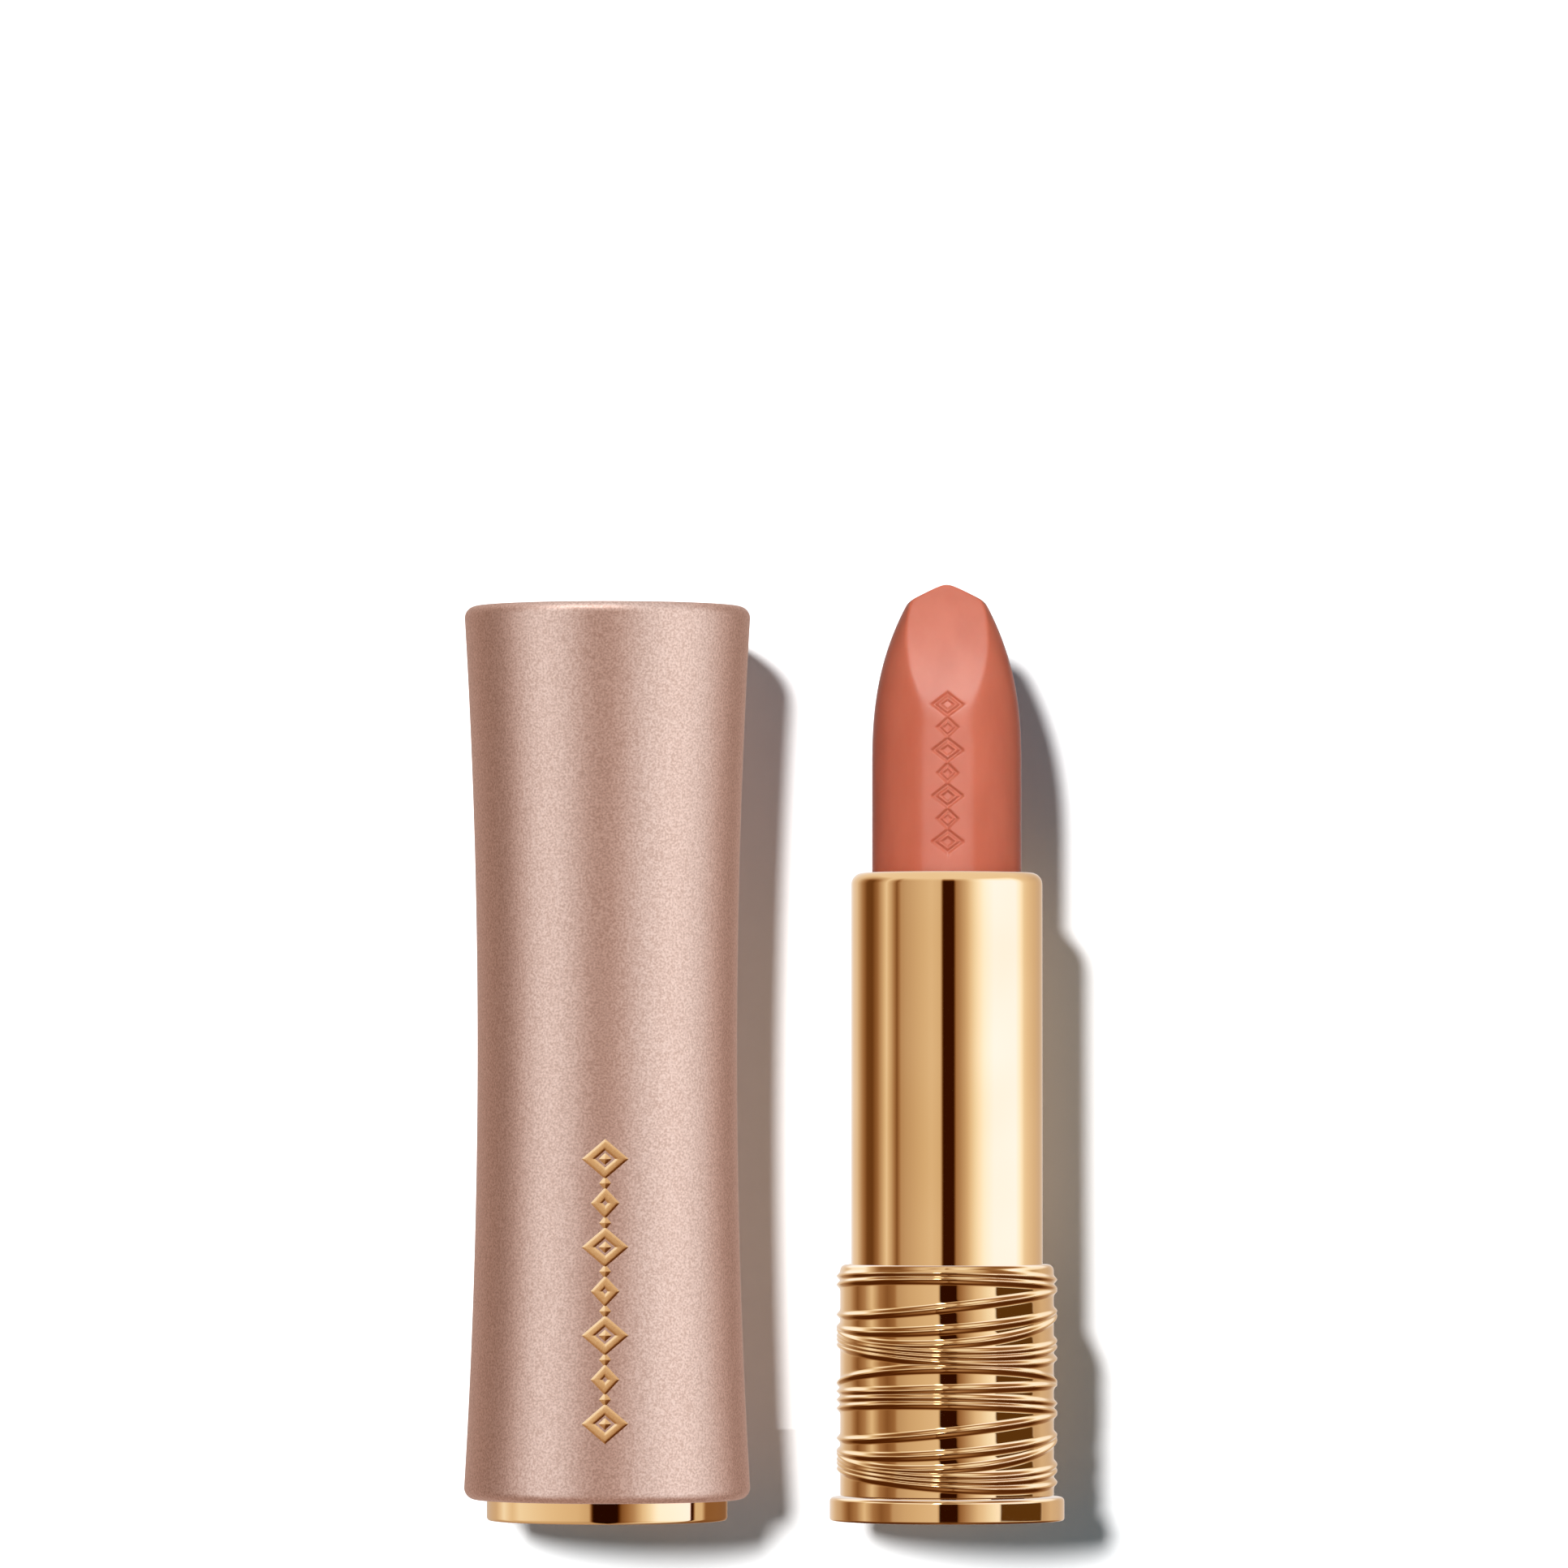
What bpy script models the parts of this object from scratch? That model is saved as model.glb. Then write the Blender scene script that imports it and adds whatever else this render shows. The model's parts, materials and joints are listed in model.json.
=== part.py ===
"""A twist-up lipstick in its case, standing open beside its push-release cap.

Metres, +Z up. The origin is the centre of the foot's underside, on the axis that the case
twists about, and the front faces -Y. The bullet is fully out. Each piece is one closed body,
parented to the frame of the group that it moves with.
"""

from math import cos, pi, radians, sin, tan

import bmesh
import bpy
from mathutils import Matrix, Vector

MM = 0.001

# Bullet, and how it travels
BULLET_RADIUS = 6.05 * MM
BULLET_SHOWN = 23.36 * MM  # above the sleeve's lip when fully out
FLAT_DEPTH = 0.27 * MM  # of the flat strips down the front and back
STEM_STEP = 0.15 * MM  # in to the stem, which sits in the cup
TIP_LENGTH = 14.8 * MM  # the part of the bullet that narrows
TIP_HALF_WIDTH = 2.3 * MM  # what is left of the round sides at the top
TIP_HALF_DEPTH = 0.23 * MM  # the same for the front and back faces
ROOF_SLOPE = radians(28)
TRAVEL = 25.0 * MM
LEAD = 20.0 * MM  # travel for one turn of the sleeve

# Walls
CUP_WALL = 0.30 * MM
GUIDE_WALL = 0.40 * MM
CAM_WALL = 0.45 * MM
GROOVE_DEPTH = 0.30 * MM
SLEEVE_WALL = 0.30 * MM
GRIP_WALL = 0.75 * MM
STRAND_RISE = 0.32 * MM
STRAND_HALF = 0.45 * MM  # half-width, at the root
STRAND_SINK = 0.15 * MM  # how far the root lies under the grip's surface
LINER_WALL = 0.28 * MM
SPIGOT_WALL = 0.28 * MM
CAP_WALL = 0.68 * MM  # at the waist, where the shell is thinnest
CAP_LIP = 0.88 * MM  # how far the cap's top turns in
FOOT_STEP = 0.53 * MM  # how far the foot stands out past the strands
LUG_ROOT = 0.18 * MM  # how deep the lugs are rooted in the cup's wall

# Clearances
RUNNING_GAP = 0.10 * MM  # between pieces that slide or turn on each other
SEAT_GAP = 0.10 * MM  # between pieces that are pressed or glued together
GRIP_GAP = 0.15 * MM  # the seam that shows between sleeve and grip
LIP_GAP = 0.15 * MM
LUG_GAP = 0.08 * MM
RIM_GAP = 0.30 * MM  # between the cup's rim and the lip above it
SKIRT_GAP = 0.50 * MM  # under the cup's skirt when it is down
STEP_GAP = 0.50 * MM  # between the grip's top and the step in the liner
BORE_GAP = 0.25 * MM  # between the sleeve and the liner's bore
EJECTOR_GAP = 0.30 * MM  # above and below the ejector's plate, and round its stem
PLATE_GAP = 0.60 * MM  # round the ejector's plate
BUTTON_GAP = 0.23 * MM  # round the button's flange
FLANGE_GAP = 0.15 * MM  # round the guide tube's flange
SPRING_GAP = 0.65 * MM  # between the button's boss and the coil

# Radii, worked out from the bullet outwards
BULLET_FLAT = BULLET_RADIUS - FLAT_DEPTH
STEM_RADIUS = BULLET_RADIUS - STEM_STEP
CUP_INNER = STEM_RADIUS + SEAT_GAP
CUP_OUTER = CUP_INNER + CUP_WALL
GUIDE_INNER = CUP_OUTER + RUNNING_GAP
GUIDE_OUTER = GUIDE_INNER + GUIDE_WALL
CAM_INNER = GUIDE_OUTER + RUNNING_GAP
CAM_OUTER = CAM_INNER + CAM_WALL
SLEEVE_INNER = CAM_OUTER + SEAT_GAP
SLEEVE_OUTER = SLEEVE_INNER + SLEEVE_WALL
LIP_OPENING = BULLET_RADIUS + LIP_GAP
GRIP_INNER = SLEEVE_OUTER + GRIP_GAP
GRIP_OUTER = GRIP_INNER + GRIP_WALL
STRAND_OUTER = GRIP_OUTER + STRAND_RISE
FOOT_RADIUS = STRAND_OUTER + FOOT_STEP
LINER_INNER = STRAND_OUTER + RUNNING_GAP
LINER_OUTER = LINER_INNER + LINER_WALL
SPIGOT_INNER = LINER_OUTER + SEAT_GAP
RING_OUTER = SPIGOT_INNER + SPIGOT_WALL
CAP_BORE = RING_OUTER + SEAT_GAP
CAP_WAIST = CAP_BORE + CAP_WALL
CAP_OPENING = CAP_BORE - CAP_LIP
BUTTON_RADIUS = CAP_OPENING - RUNNING_GAP

# Case, from the foot up
FOOT_THICKNESS = 1.9 * MM
FOOT_BOSS = 1.0 * MM
FOOT_ROUND = 0.55 * MM
LABEL_RADIUS = 6.4 * MM
LABEL_THICKNESS = 0.3 * MM
GRIP_LENGTH = 18.7 * MM
GRIP_ROUND = 0.5 * MM
SLEEVE_SHOWN = 31.7 * MM
SLEEVE_ROUND = 1.0 * MM
LIP_THICKNESS = 0.35 * MM
CUP_DEPTH = 9.5 * MM
CUP_FLOOR = 0.7 * MM
CUP_SKIRT = 3.9 * MM
LUG_RADIUS = 0.65 * MM
LUG_ABOVE_SKIRT = 1.5 * MM
GUIDE_FLANGE = 0.4 * MM
GUIDE_FLOOR = 1.0 * MM
BRAKE_WIRE = 0.25 * MM

GRIP_BOTTOM = FOOT_THICKNESS + SEAT_GAP
GRIP_TOP = GRIP_BOTTOM + GRIP_LENGTH
SLEEVE_TOP = GRIP_TOP + SLEEVE_SHOWN
CUP_RIM = SLEEVE_TOP - LIP_THICKNESS - RIM_GAP
SKIRT_BOTTOM = CUP_RIM - CUP_DEPTH - CUP_FLOOR - CUP_SKIRT
LUG_HEIGHT = SKIRT_BOTTOM + LUG_ABOVE_SKIRT
BULLET_TIP = SLEEVE_TOP + BULLET_SHOWN
GUIDE_TOP = SLEEVE_TOP - SLEEVE_ROUND
GUIDE_FLOOR_TOP = SKIRT_BOTTOM - TRAVEL - SKIRT_GAP
CAM_TOP = GUIDE_TOP - GUIDE_FLANGE - RUNNING_GAP
INNER_BOTTOM = FOOT_THICKNESS + FOOT_BOSS + SEAT_GAP

# Cam grooves
FACET_ANGLE = radians(10)
FACETS = round(2 * pi / FACET_ANGLE)
GROOVE_RISE = LEAD * FACET_ANGLE / (2 * pi)
GROOVE_OVERRUN = 1.5  # steps that a groove runs on past the lug at each end
GROOVE_END_WALL = 0.5 * MM  # of the cam tube under the groove
GROOVE_STEPS = round(TRAVEL / GROOVE_RISE + 2 * GROOVE_OVERRUN)
GROOVE_SLOPE = LEAD / (2 * pi * CAM_INNER)
GROOVE_HEIGHT = 2 * (LUG_RADIUS + LUG_GAP) * (1 + GROOVE_SLOPE**2) ** 0.5
GROOVE_BOTTOM = LUG_HEIGHT + GROOVE_RISE * (GROOVE_OVERRUN - GROOVE_STEPS)
CAM_BOTTOM = GROOVE_BOTTOM - GROOVE_HEIGHT / 2 - GROOVE_END_WALL
BRAKE_HEIGHT = CAM_BOTTOM - RUNNING_GAP - BRAKE_WIRE
INSERT_TOP = BRAKE_HEIGHT - BRAKE_WIRE - SEAT_GAP

# Strands wound round the grip, each a flat loop tilted a little: its height above the foot of
# the pattern, how far it climbs to the right, and how far it climbs to the front.
STRAND_PITCH = 10.0 * MM
STRAND_START = 1.65 * MM
STRANDS = (
    (0.00 * MM, -0.55 * MM, -0.70 * MM),
    (0.70 * MM, -0.30 * MM, -0.95 * MM),
    (1.10 * MM, -0.20 * MM, -0.95 * MM),
    (2.35 * MM, 0.55 * MM, -1.60 * MM),
    (2.65 * MM, 0.65 * MM, -0.70 * MM),
    (3.95 * MM, 0.95 * MM, -0.25 * MM),
    (5.25 * MM, -0.15 * MM, 0.70 * MM),
    (5.95 * MM, -0.15 * MM, 0.50 * MM),
    (7.05 * MM, 0.25 * MM, 0.10 * MM),
    (7.50 * MM, 0.05 * MM, 1.35 * MM),
)

# Cap, from its mouth up
CAP_LENGTH = 74.0 * MM
CAP_FLARE = 1.06 * MM  # how much wider the ends are than the waist
CAP_ROUND = 0.95 * MM
CAP_APART = 6.43 * MM  # table between the standing cap and the case's foot
CAP_TOP_WALL = 0.8 * MM
RING_SHOWN = 1.7 * MM
SPIGOT_LENGTH = 4.3 * MM
RING_ROUND = 0.3 * MM
LINER_STEP = 0.8 * MM
CEILING = 1.0 * MM
SNAP_BEAD = 0.07 * MM  # how far the bead that grips the strands stands out
BEAD_ABOVE_MOUTH = 1.0 * MM
BEAD_HALF = 0.3 * MM

# Push release, in the cap's top
BUTTON_PLATE = 0.8 * MM
BUTTON_EDGE = 0.2 * MM
BUTTON_RECESS = 0.15 * MM
BUTTON_BOSS_RADIUS = 3.0 * MM
BUTTON_BOSS = 4.8 * MM
EJECTOR_STEM = 1.8 * MM
EJECTOR_PLATE = 1.0 * MM
SPRING_WIRE = 0.25 * MM
SPRING_RADIUS = BUTTON_BOSS_RADIUS + SPRING_GAP + SPRING_WIRE
SPRING_PITCH = 2.7 * MM

CAP_X = -(FOOT_RADIUS + CAP_APART + CAP_WAIST + CAP_FLARE)
CASE_IN_CAP = SLEEVE_TOP - FOOT_THICKNESS  # the sleeve's top when the cap is on
GRIP_IN_CAP = GRIP_TOP - FOOT_THICKNESS
LINER_BOTTOM = RING_SHOWN + SEAT_GAP
STEP_UNDER = GRIP_IN_CAP + STEP_GAP
LINER_BORE = SLEEVE_OUTER + BORE_GAP
EJECTOR_UNDER = CASE_IN_CAP + EJECTOR_GAP
CEILING_UNDER = EJECTOR_UNDER + EJECTOR_PLATE + EJECTOR_GAP
CEILING_TOP = CEILING_UNDER + CEILING
CAP_LIP_UNDER = CAP_LENGTH - CAP_TOP_WALL
BUTTON_SHOULDER = CAP_LIP_UNDER - RUNNING_GAP
BUTTON_UNDER = BUTTON_SHOULDER - BUTTON_PLATE

# Raised ornament on the cap's front: a rod threaded with lozenges
EMBLEM_BOTTOM = 6.35 * MM
EMBLEM_HEIGHT = 24.7 * MM
EMBLEM_LOZENGES = 7
EMBLEM_WIDE = 1.9 * MM  # half-width of the large lozenges
EMBLEM_SLIM = 1.15 * MM
EMBLEM_TALL = 0.4  # half-height of a lozenge, as a share of their spacing
EMBLEM_ROD = 0.28 * MM
EMBLEM_RISE = 0.22 * MM
EMBLEM_GLUE = 0.05 * MM

MERGE = 1e-6
CUT_OVER = 0.3 * MM  # how far a cutter runs on past what it cuts
GRIP_FACETS = 30
CAP_FACETS = 48
LUG_FACETS = 12
SHARP_ANGLE = radians(32)

# Turns a flat outline's x, y to stand in a plane: across the front, or seen from the side.
FACING_FRONT = Matrix(((1, 0, 0, 0), (0, 0, -1, 0), (0, 1, 0, 0), (0, 0, 0, 1)))
FACING_SIDE = Matrix(((0, 0, 1, 0), (1, 0, 0, 0), (0, 1, 0, 0), (0, 0, 0, 1)))


# ---------------------------------------------------------------- helpers


def clear_scene():
    for item in list(bpy.data.objects):
        bpy.data.objects.remove(item)


def new_collection(name, hidden=False):
    collection = bpy.data.collections.new(name)
    collection.hide_render = hidden
    bpy.context.scene.collection.children.link(collection)
    return collection


def finish(name, colour, roughness, metallic):
    """A material for one piece: its colour, how rough it is, and whether it is metal."""
    material = bpy.data.materials.new(name)
    material.use_nodes = True
    shader = material.node_tree.nodes["Principled BSDF"]
    shader.inputs["Base Color"].default_value = (*colour, 1.0)
    shader.inputs["Roughness"].default_value = roughness
    shader.inputs["Metallic"].default_value = metallic
    material.diffuse_color = (*colour, 1.0)
    return material


def frame(name, location, parent=None):
    """An empty on a joint's axis, which the pieces of one moving group hang from."""
    empty = bpy.data.objects.new(name, None)
    empty.location = location
    empty.parent = parent
    PARTS.objects.link(empty)
    return empty


def new_piece(name, mesh, parent=None, material=None):
    piece = bpy.data.objects.new(name, mesh)
    piece.parent = parent
    if material:
        mesh.materials.append(material)
    PARTS.objects.link(piece)
    return piece


def new_cutter(name, mesh, parent=None):
    cutter = bpy.data.objects.new(name, mesh)
    cutter.parent = parent
    cutter.hide_render = True
    cutter.display_type = "WIRE"
    CUTTERS.objects.link(cutter)
    return cutter


def mesh_of(name, shape):
    mesh = bpy.data.meshes.new(name)
    bmesh.ops.recalc_face_normals(shape, faces=shape.faces)
    shape.to_mesh(mesh)
    shape.free()
    return mesh


def boolean(piece, other, operation, solver="EXACT"):
    modifier = piece.modifiers.new(other.name, "BOOLEAN")
    modifier.operation = operation
    modifier.object = other
    modifier.solver = solver


def arc(centre_r, centre_z, radius, start, end, points=3):
    """Profile points on a round corner, from start to end degrees, 0 being outwards."""
    angles = [radians(start + (end - start) * i / points) for i in range(points + 1)]
    return [(centre_r + radius * cos(a), centre_z + radius * sin(a)) for a in angles]


def turned(name, profile, parent, material, facets=FACETS):
    """A profile of (radius, height) points, spun round Z. It runs down its outer side.

    A profile that starts on the axis also ends on it, and any other is closed into a ring.
    """
    count = len(profile)
    edges = [(i, i + 1) for i in range(count - 1)]
    if profile[0][0] > 0:
        edges.append((count - 1, 0))
    mesh = bpy.data.meshes.new(name)
    mesh.from_pydata([(r, 0, z) for r, z in profile], edges, [])
    piece = new_piece(name, mesh, parent, material)
    screw = piece.modifiers.new("turned", "SCREW")
    screw.steps = screw.render_steps = facets
    screw.use_merge_vertices = True
    screw.merge_threshold = MERGE
    return piece


def box_mesh(name, low, high):
    low, high = Vector(low), Vector(high)
    shape = bmesh.new()
    bmesh.ops.create_cube(shape, size=1)
    bmesh.ops.scale(shape, vec=high - low, verts=shape.verts)
    bmesh.ops.translate(shape, vec=(low + high) / 2, verts=shape.verts)
    return mesh_of(name, shape)


def prism_mesh(name, outline, half_depth, facing):
    """A flat outline with thickness, stood up by the facing matrix."""
    curve = bpy.data.curves.new(name, "CURVE")
    curve.dimensions = "2D"
    curve.fill_mode = "BOTH"
    curve.extrude = half_depth
    spline = curve.splines.new("POLY")
    spline.points.add(len(outline) - 1)
    for point, (x, y) in zip(spline.points, outline):
        point.co = (x, y, 0, 1)
    spline.use_cyclic_u = True
    holder = bpy.data.objects.new(name, curve)
    CUTTERS.objects.link(holder)
    graph = bpy.context.evaluated_depsgraph_get()
    shape = bmesh.new()
    shape.from_mesh(bpy.data.meshes.new_from_object(holder.evaluated_get(graph)))
    bpy.data.objects.remove(holder)
    bmesh.ops.remove_doubles(shape, verts=shape.verts, dist=MERGE)
    shape.transform(facing)
    return mesh_of(name, shape)


# ---------------------------------------------------------------- case


def foot_plate(parent, gold):
    profile = [(0, FOOT_THICKNESS + FOOT_BOSS)]
    profile += [(GRIP_INNER - SEAT_GAP, FOOT_THICKNESS + FOOT_BOSS)]
    profile += [(GRIP_INNER - SEAT_GAP, FOOT_THICKNESS)]
    corner = FOOT_RADIUS - FOOT_ROUND
    profile += arc(corner, FOOT_THICKNESS - FOOT_ROUND, FOOT_ROUND, 90, 0)
    profile += arc(corner, FOOT_ROUND, FOOT_ROUND, 0, -90)
    recess = LABEL_THICKNESS + SEAT_GAP
    profile += [(LABEL_RADIUS + SEAT_GAP, 0), (LABEL_RADIUS + SEAT_GAP, recess), (0, recess)]
    turned("foot_plate", profile, parent, gold)


def shade_label(parent, card):
    profile = [(0, LABEL_THICKNESS), (LABEL_RADIUS, LABEL_THICKNESS), (LABEL_RADIUS, 0), (0, 0)]
    turned("shade_label", profile, parent, card)


def strand_mesh(height, climb_right, climb_front):
    """A thin ring round the grip, sheared so that it lies in a tilted plane."""
    shape = bmesh.new()
    corners = [(STRAND_RISE, 0), (-STRAND_SINK, -STRAND_HALF), (-STRAND_SINK, STRAND_HALF)]
    section = [shape.verts.new((GRIP_OUTER + r, 0, z)) for r, z in corners]
    edges = [shape.edges.new((section[i - 1], section[i])) for i in range(len(section))]
    turn = {"cent": (0, 0, 0), "axis": (0, 0, 1), "angle": 2 * pi, "steps": GRIP_FACETS}
    bmesh.ops.spin(shape, geom=section + edges, **turn)
    bmesh.ops.remove_doubles(shape, verts=shape.verts, dist=MERGE)
    tilt = Matrix.Identity(4)
    tilt[2][0] = climb_right / GRIP_OUTER
    tilt[2][1] = -climb_front / GRIP_OUTER
    tilt[2][3] = height
    shape.transform(tilt)
    return mesh_of("strand", shape)


def strand_places():
    """Height and climbs of every strand of the repeating pattern that fits under the rim."""
    highest = GRIP_TOP - GRIP_ROUND
    start = GRIP_BOTTOM + STRAND_START
    while start < highest:
        for rise, climb_right, climb_front in STRANDS:
            reach = (climb_right**2 + climb_front**2) ** 0.5
            if start + rise + reach < highest:
                yield start + rise, climb_right, climb_front
        start += STRAND_PITCH


def grip_shell(parent, gold):
    profile = [(GRIP_INNER, GRIP_TOP)]
    profile += arc(GRIP_OUTER - GRIP_ROUND, GRIP_TOP - GRIP_ROUND, GRIP_ROUND, 90, 0)
    profile += [(GRIP_OUTER, GRIP_BOTTOM), (GRIP_INNER, GRIP_BOTTOM)]
    shell = turned("grip_shell", profile, parent, gold, GRIP_FACETS)
    for place in strand_places():
        strand = new_cutter("strand", strand_mesh(*place), parent)
        boolean(shell, strand, "UNION", "MANIFOLD")


def base_insert(parent, plastic):
    inner = GUIDE_OUTER + SEAT_GAP
    outer = GRIP_INNER - SEAT_GAP
    profile = [(inner, INSERT_TOP), (outer, INSERT_TOP), (outer, INNER_BOTTOM), (inner, INNER_BOTTOM)]
    turned("base_insert", profile, parent, plastic)


def base_weight(parent, steel):
    radius = GUIDE_INNER - SEAT_GAP
    top = GUIDE_FLOOR_TOP - GUIDE_FLOOR - SEAT_GAP
    profile = [(0, top), (radius, top), (radius, INNER_BOTTOM), (0, INNER_BOTTOM)]
    turned("base_weight", profile, parent, steel)


def guide_tube(parent, plastic):
    flange = SLEEVE_INNER - FLANGE_GAP
    profile = [(0, GUIDE_FLOOR_TOP), (GUIDE_INNER, GUIDE_FLOOR_TOP), (GUIDE_INNER, GUIDE_TOP)]
    profile += [(flange, GUIDE_TOP), (flange, GUIDE_TOP - GUIDE_FLANGE)]
    profile += [(GUIDE_OUTER, GUIDE_TOP - GUIDE_FLANGE), (GUIDE_OUTER, INNER_BOTTOM)]
    floor_under = GUIDE_FLOOR_TOP - GUIDE_FLOOR
    profile += [(GUIDE_INNER, INNER_BOTTOM), (GUIDE_INNER, floor_under), (0, floor_under)]
    tube = turned("guide_tube", profile, parent, plastic)
    reach = LUG_RADIUS + LUG_GAP
    low = (-CAM_INNER, -reach, LUG_HEIGHT - TRAVEL - reach)
    high = (CAM_INNER, reach, LUG_HEIGHT + reach)
    boolean(tube, new_cutter("guide_slots", box_mesh("guide_slots", low, high), parent), "DIFFERENCE")


def brake_ring(parent, rubber):
    centre = GUIDE_OUTER + RUNNING_GAP + BRAKE_WIRE
    profile = arc(centre, BRAKE_HEIGHT, BRAKE_WIRE, 90, -210, 5)
    turned("brake_ring", profile, parent, rubber)


# ---------------------------------------------------------------- sleeve


def outer_sleeve(parent, gold):
    profile = [(LIP_OPENING, SLEEVE_TOP)]
    profile += arc(SLEEVE_OUTER - SLEEVE_ROUND, GUIDE_TOP, SLEEVE_ROUND, 90, 0, 5)
    profile += [(SLEEVE_OUTER, CAM_BOTTOM), (SLEEVE_INNER, CAM_BOTTOM)]
    inner_round = SLEEVE_ROUND - LIP_THICKNESS
    profile += arc(SLEEVE_INNER - inner_round, GUIDE_TOP, inner_round, 0, 90, 4)
    profile += [(LIP_OPENING, GUIDE_TOP + inner_round)]
    turned("outer_sleeve", profile, parent, gold)


def groove_mesh(start_angle):
    """A bar of square section on a helix: what one groove takes out of the cam tube."""
    inner = CAM_INNER - CUT_OVER
    outer = CAM_INNER + GROOVE_DEPTH
    half = GROOVE_HEIGHT / 2
    shape = bmesh.new()
    corners = [(inner, -half), (outer, -half), (outer, half), (inner, half)]
    along = Vector((cos(start_angle), sin(start_angle), 0))
    section = [shape.verts.new(along * r + Vector((0, 0, GROOVE_BOTTOM + z))) for r, z in corners]
    turn = {"cent": (0, 0, 0), "axis": (0, 0, 1), "dvec": (0, 0, GROOVE_RISE)}
    turn |= {"angle": GROOVE_STEPS * FACET_ANGLE, "steps": GROOVE_STEPS}
    bmesh.ops.spin(shape, geom=[shape.faces.new(section)], **turn)
    return mesh_of("groove", shape)


def cam_tube(parent, plastic):
    profile = [(CAM_INNER, CAM_TOP), (CAM_OUTER, CAM_TOP), (CAM_OUTER, CAM_BOTTOM), (CAM_INNER, CAM_BOTTOM)]
    tube = turned("cam_tube", profile, parent, plastic)
    for side in (0, pi):
        start = side - (GROOVE_STEPS - GROOVE_OVERRUN) * FACET_ANGLE
        boolean(tube, new_cutter("groove", groove_mesh(start), parent), "DIFFERENCE")


# ---------------------------------------------------------------- carrier


def carrier_cup(parent, plastic):
    floor_under = CUP_RIM - CUP_DEPTH - CUP_FLOOR
    profile = [(0, CUP_RIM - CUP_DEPTH), (CUP_INNER, CUP_RIM - CUP_DEPTH), (CUP_INNER, CUP_RIM)]
    profile += [(CUP_OUTER, CUP_RIM), (CUP_OUTER, SKIRT_BOTTOM), (CUP_INNER, SKIRT_BOTTOM)]
    profile += [(CUP_INNER, floor_under), (0, floor_under)]
    cup = turned("carrier_cup", profile, parent, plastic)
    root = CUP_OUTER - LUG_ROOT
    reach = CAM_INNER + GROOVE_DEPTH / 2
    for side in (1, -1):
        shape = bmesh.new()
        size = {"radius1": LUG_RADIUS, "radius2": LUG_RADIUS, "depth": reach - root}
        bmesh.ops.create_cone(shape, cap_ends=True, segments=LUG_FACETS, **size)
        centre = Vector((side * (reach + root) / 2, 0, LUG_HEIGHT))
        shape.transform(Matrix.Translation(centre) @ Matrix.Rotation(pi / 2, 4, "Y"))
        boolean(cup, new_cutter("lug", mesh_of("lug", shape), parent), "UNION")


def tip_outline(half_width, left_at_top, power):
    """The bullet's outline above the sleeve, narrowing over the tip."""
    points = [(half_width, CUP_RIM + SEAT_GAP)]
    steps = 8
    for i in range(steps + 1):
        along = i / steps
        height = BULLET_TIP - TIP_LENGTH * (1 - along)
        points.append((half_width - (half_width - left_at_top) * along**power, height))
    return points


def bullet(parent, wax):
    sides = tip_outline(BULLET_RADIUS, TIP_HALF_WIDTH, 2.5)
    profile = [(0, BULLET_TIP)] + sides[::-1]
    stem_bottom = CUP_RIM - CUP_DEPTH + SEAT_GAP
    profile += [(STEM_RADIUS, CUP_RIM + SEAT_GAP), (STEM_RADIUS, stem_bottom), (0, stem_bottom)]
    piece = turned("bullet", profile, parent, wax)

    wide = 2 * BULLET_RADIUS
    face = tip_outline(BULLET_FLAT, TIP_HALF_DEPTH, 2)
    right = [(wide, 0), (wide, CUP_RIM + SEAT_GAP)] + face
    faces = right + [(-x, z) for x, z in reversed(right)]
    wedge = prism_mesh("bullet_faces", faces, wide, FACING_SIDE)
    boolean(piece, new_cutter("bullet_faces", wedge, parent), "INTERSECT")

    eaves = BULLET_TIP - wide * tan(ROOF_SLOPE)
    roof = [(-wide, 0), (wide, 0), (wide, eaves), (0, BULLET_TIP), (-wide, eaves)]
    gable = prism_mesh("bullet_roof", roof, wide, FACING_FRONT)
    boolean(piece, new_cutter("bullet_roof", gable, parent), "INTERSECT")


# ---------------------------------------------------------------- cap


def cap_outline(points=8):
    """The waisted side of the cap between its rounded ends, from the top down."""
    top = CAP_LENGTH - CAP_ROUND
    bottom = RING_SHOWN + CAP_ROUND
    outline = []
    for i in range(points + 1):
        across = 1 - 2 * i / points
        height = (top + bottom + (top - bottom) * across) / 2
        outline.append((CAP_WAIST + CAP_FLARE * across**2, height))
    return outline


def cap_shell(parent, rose_gold):
    side = cap_outline()
    corner = CAP_WAIST + CAP_FLARE - CAP_ROUND
    profile = [(CAP_OPENING, CAP_LENGTH)]
    profile += arc(corner, CAP_LENGTH - CAP_ROUND, CAP_ROUND, 90, 0)
    profile += side[1:-1]
    profile += arc(corner, RING_SHOWN + CAP_ROUND, CAP_ROUND, 0, -90)
    profile += [(CAP_BORE, RING_SHOWN), (CAP_BORE, CAP_LIP_UNDER), (CAP_OPENING, CAP_LIP_UNDER)]
    turned("cap_shell", profile, parent, rose_gold, CAP_FACETS)


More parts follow.
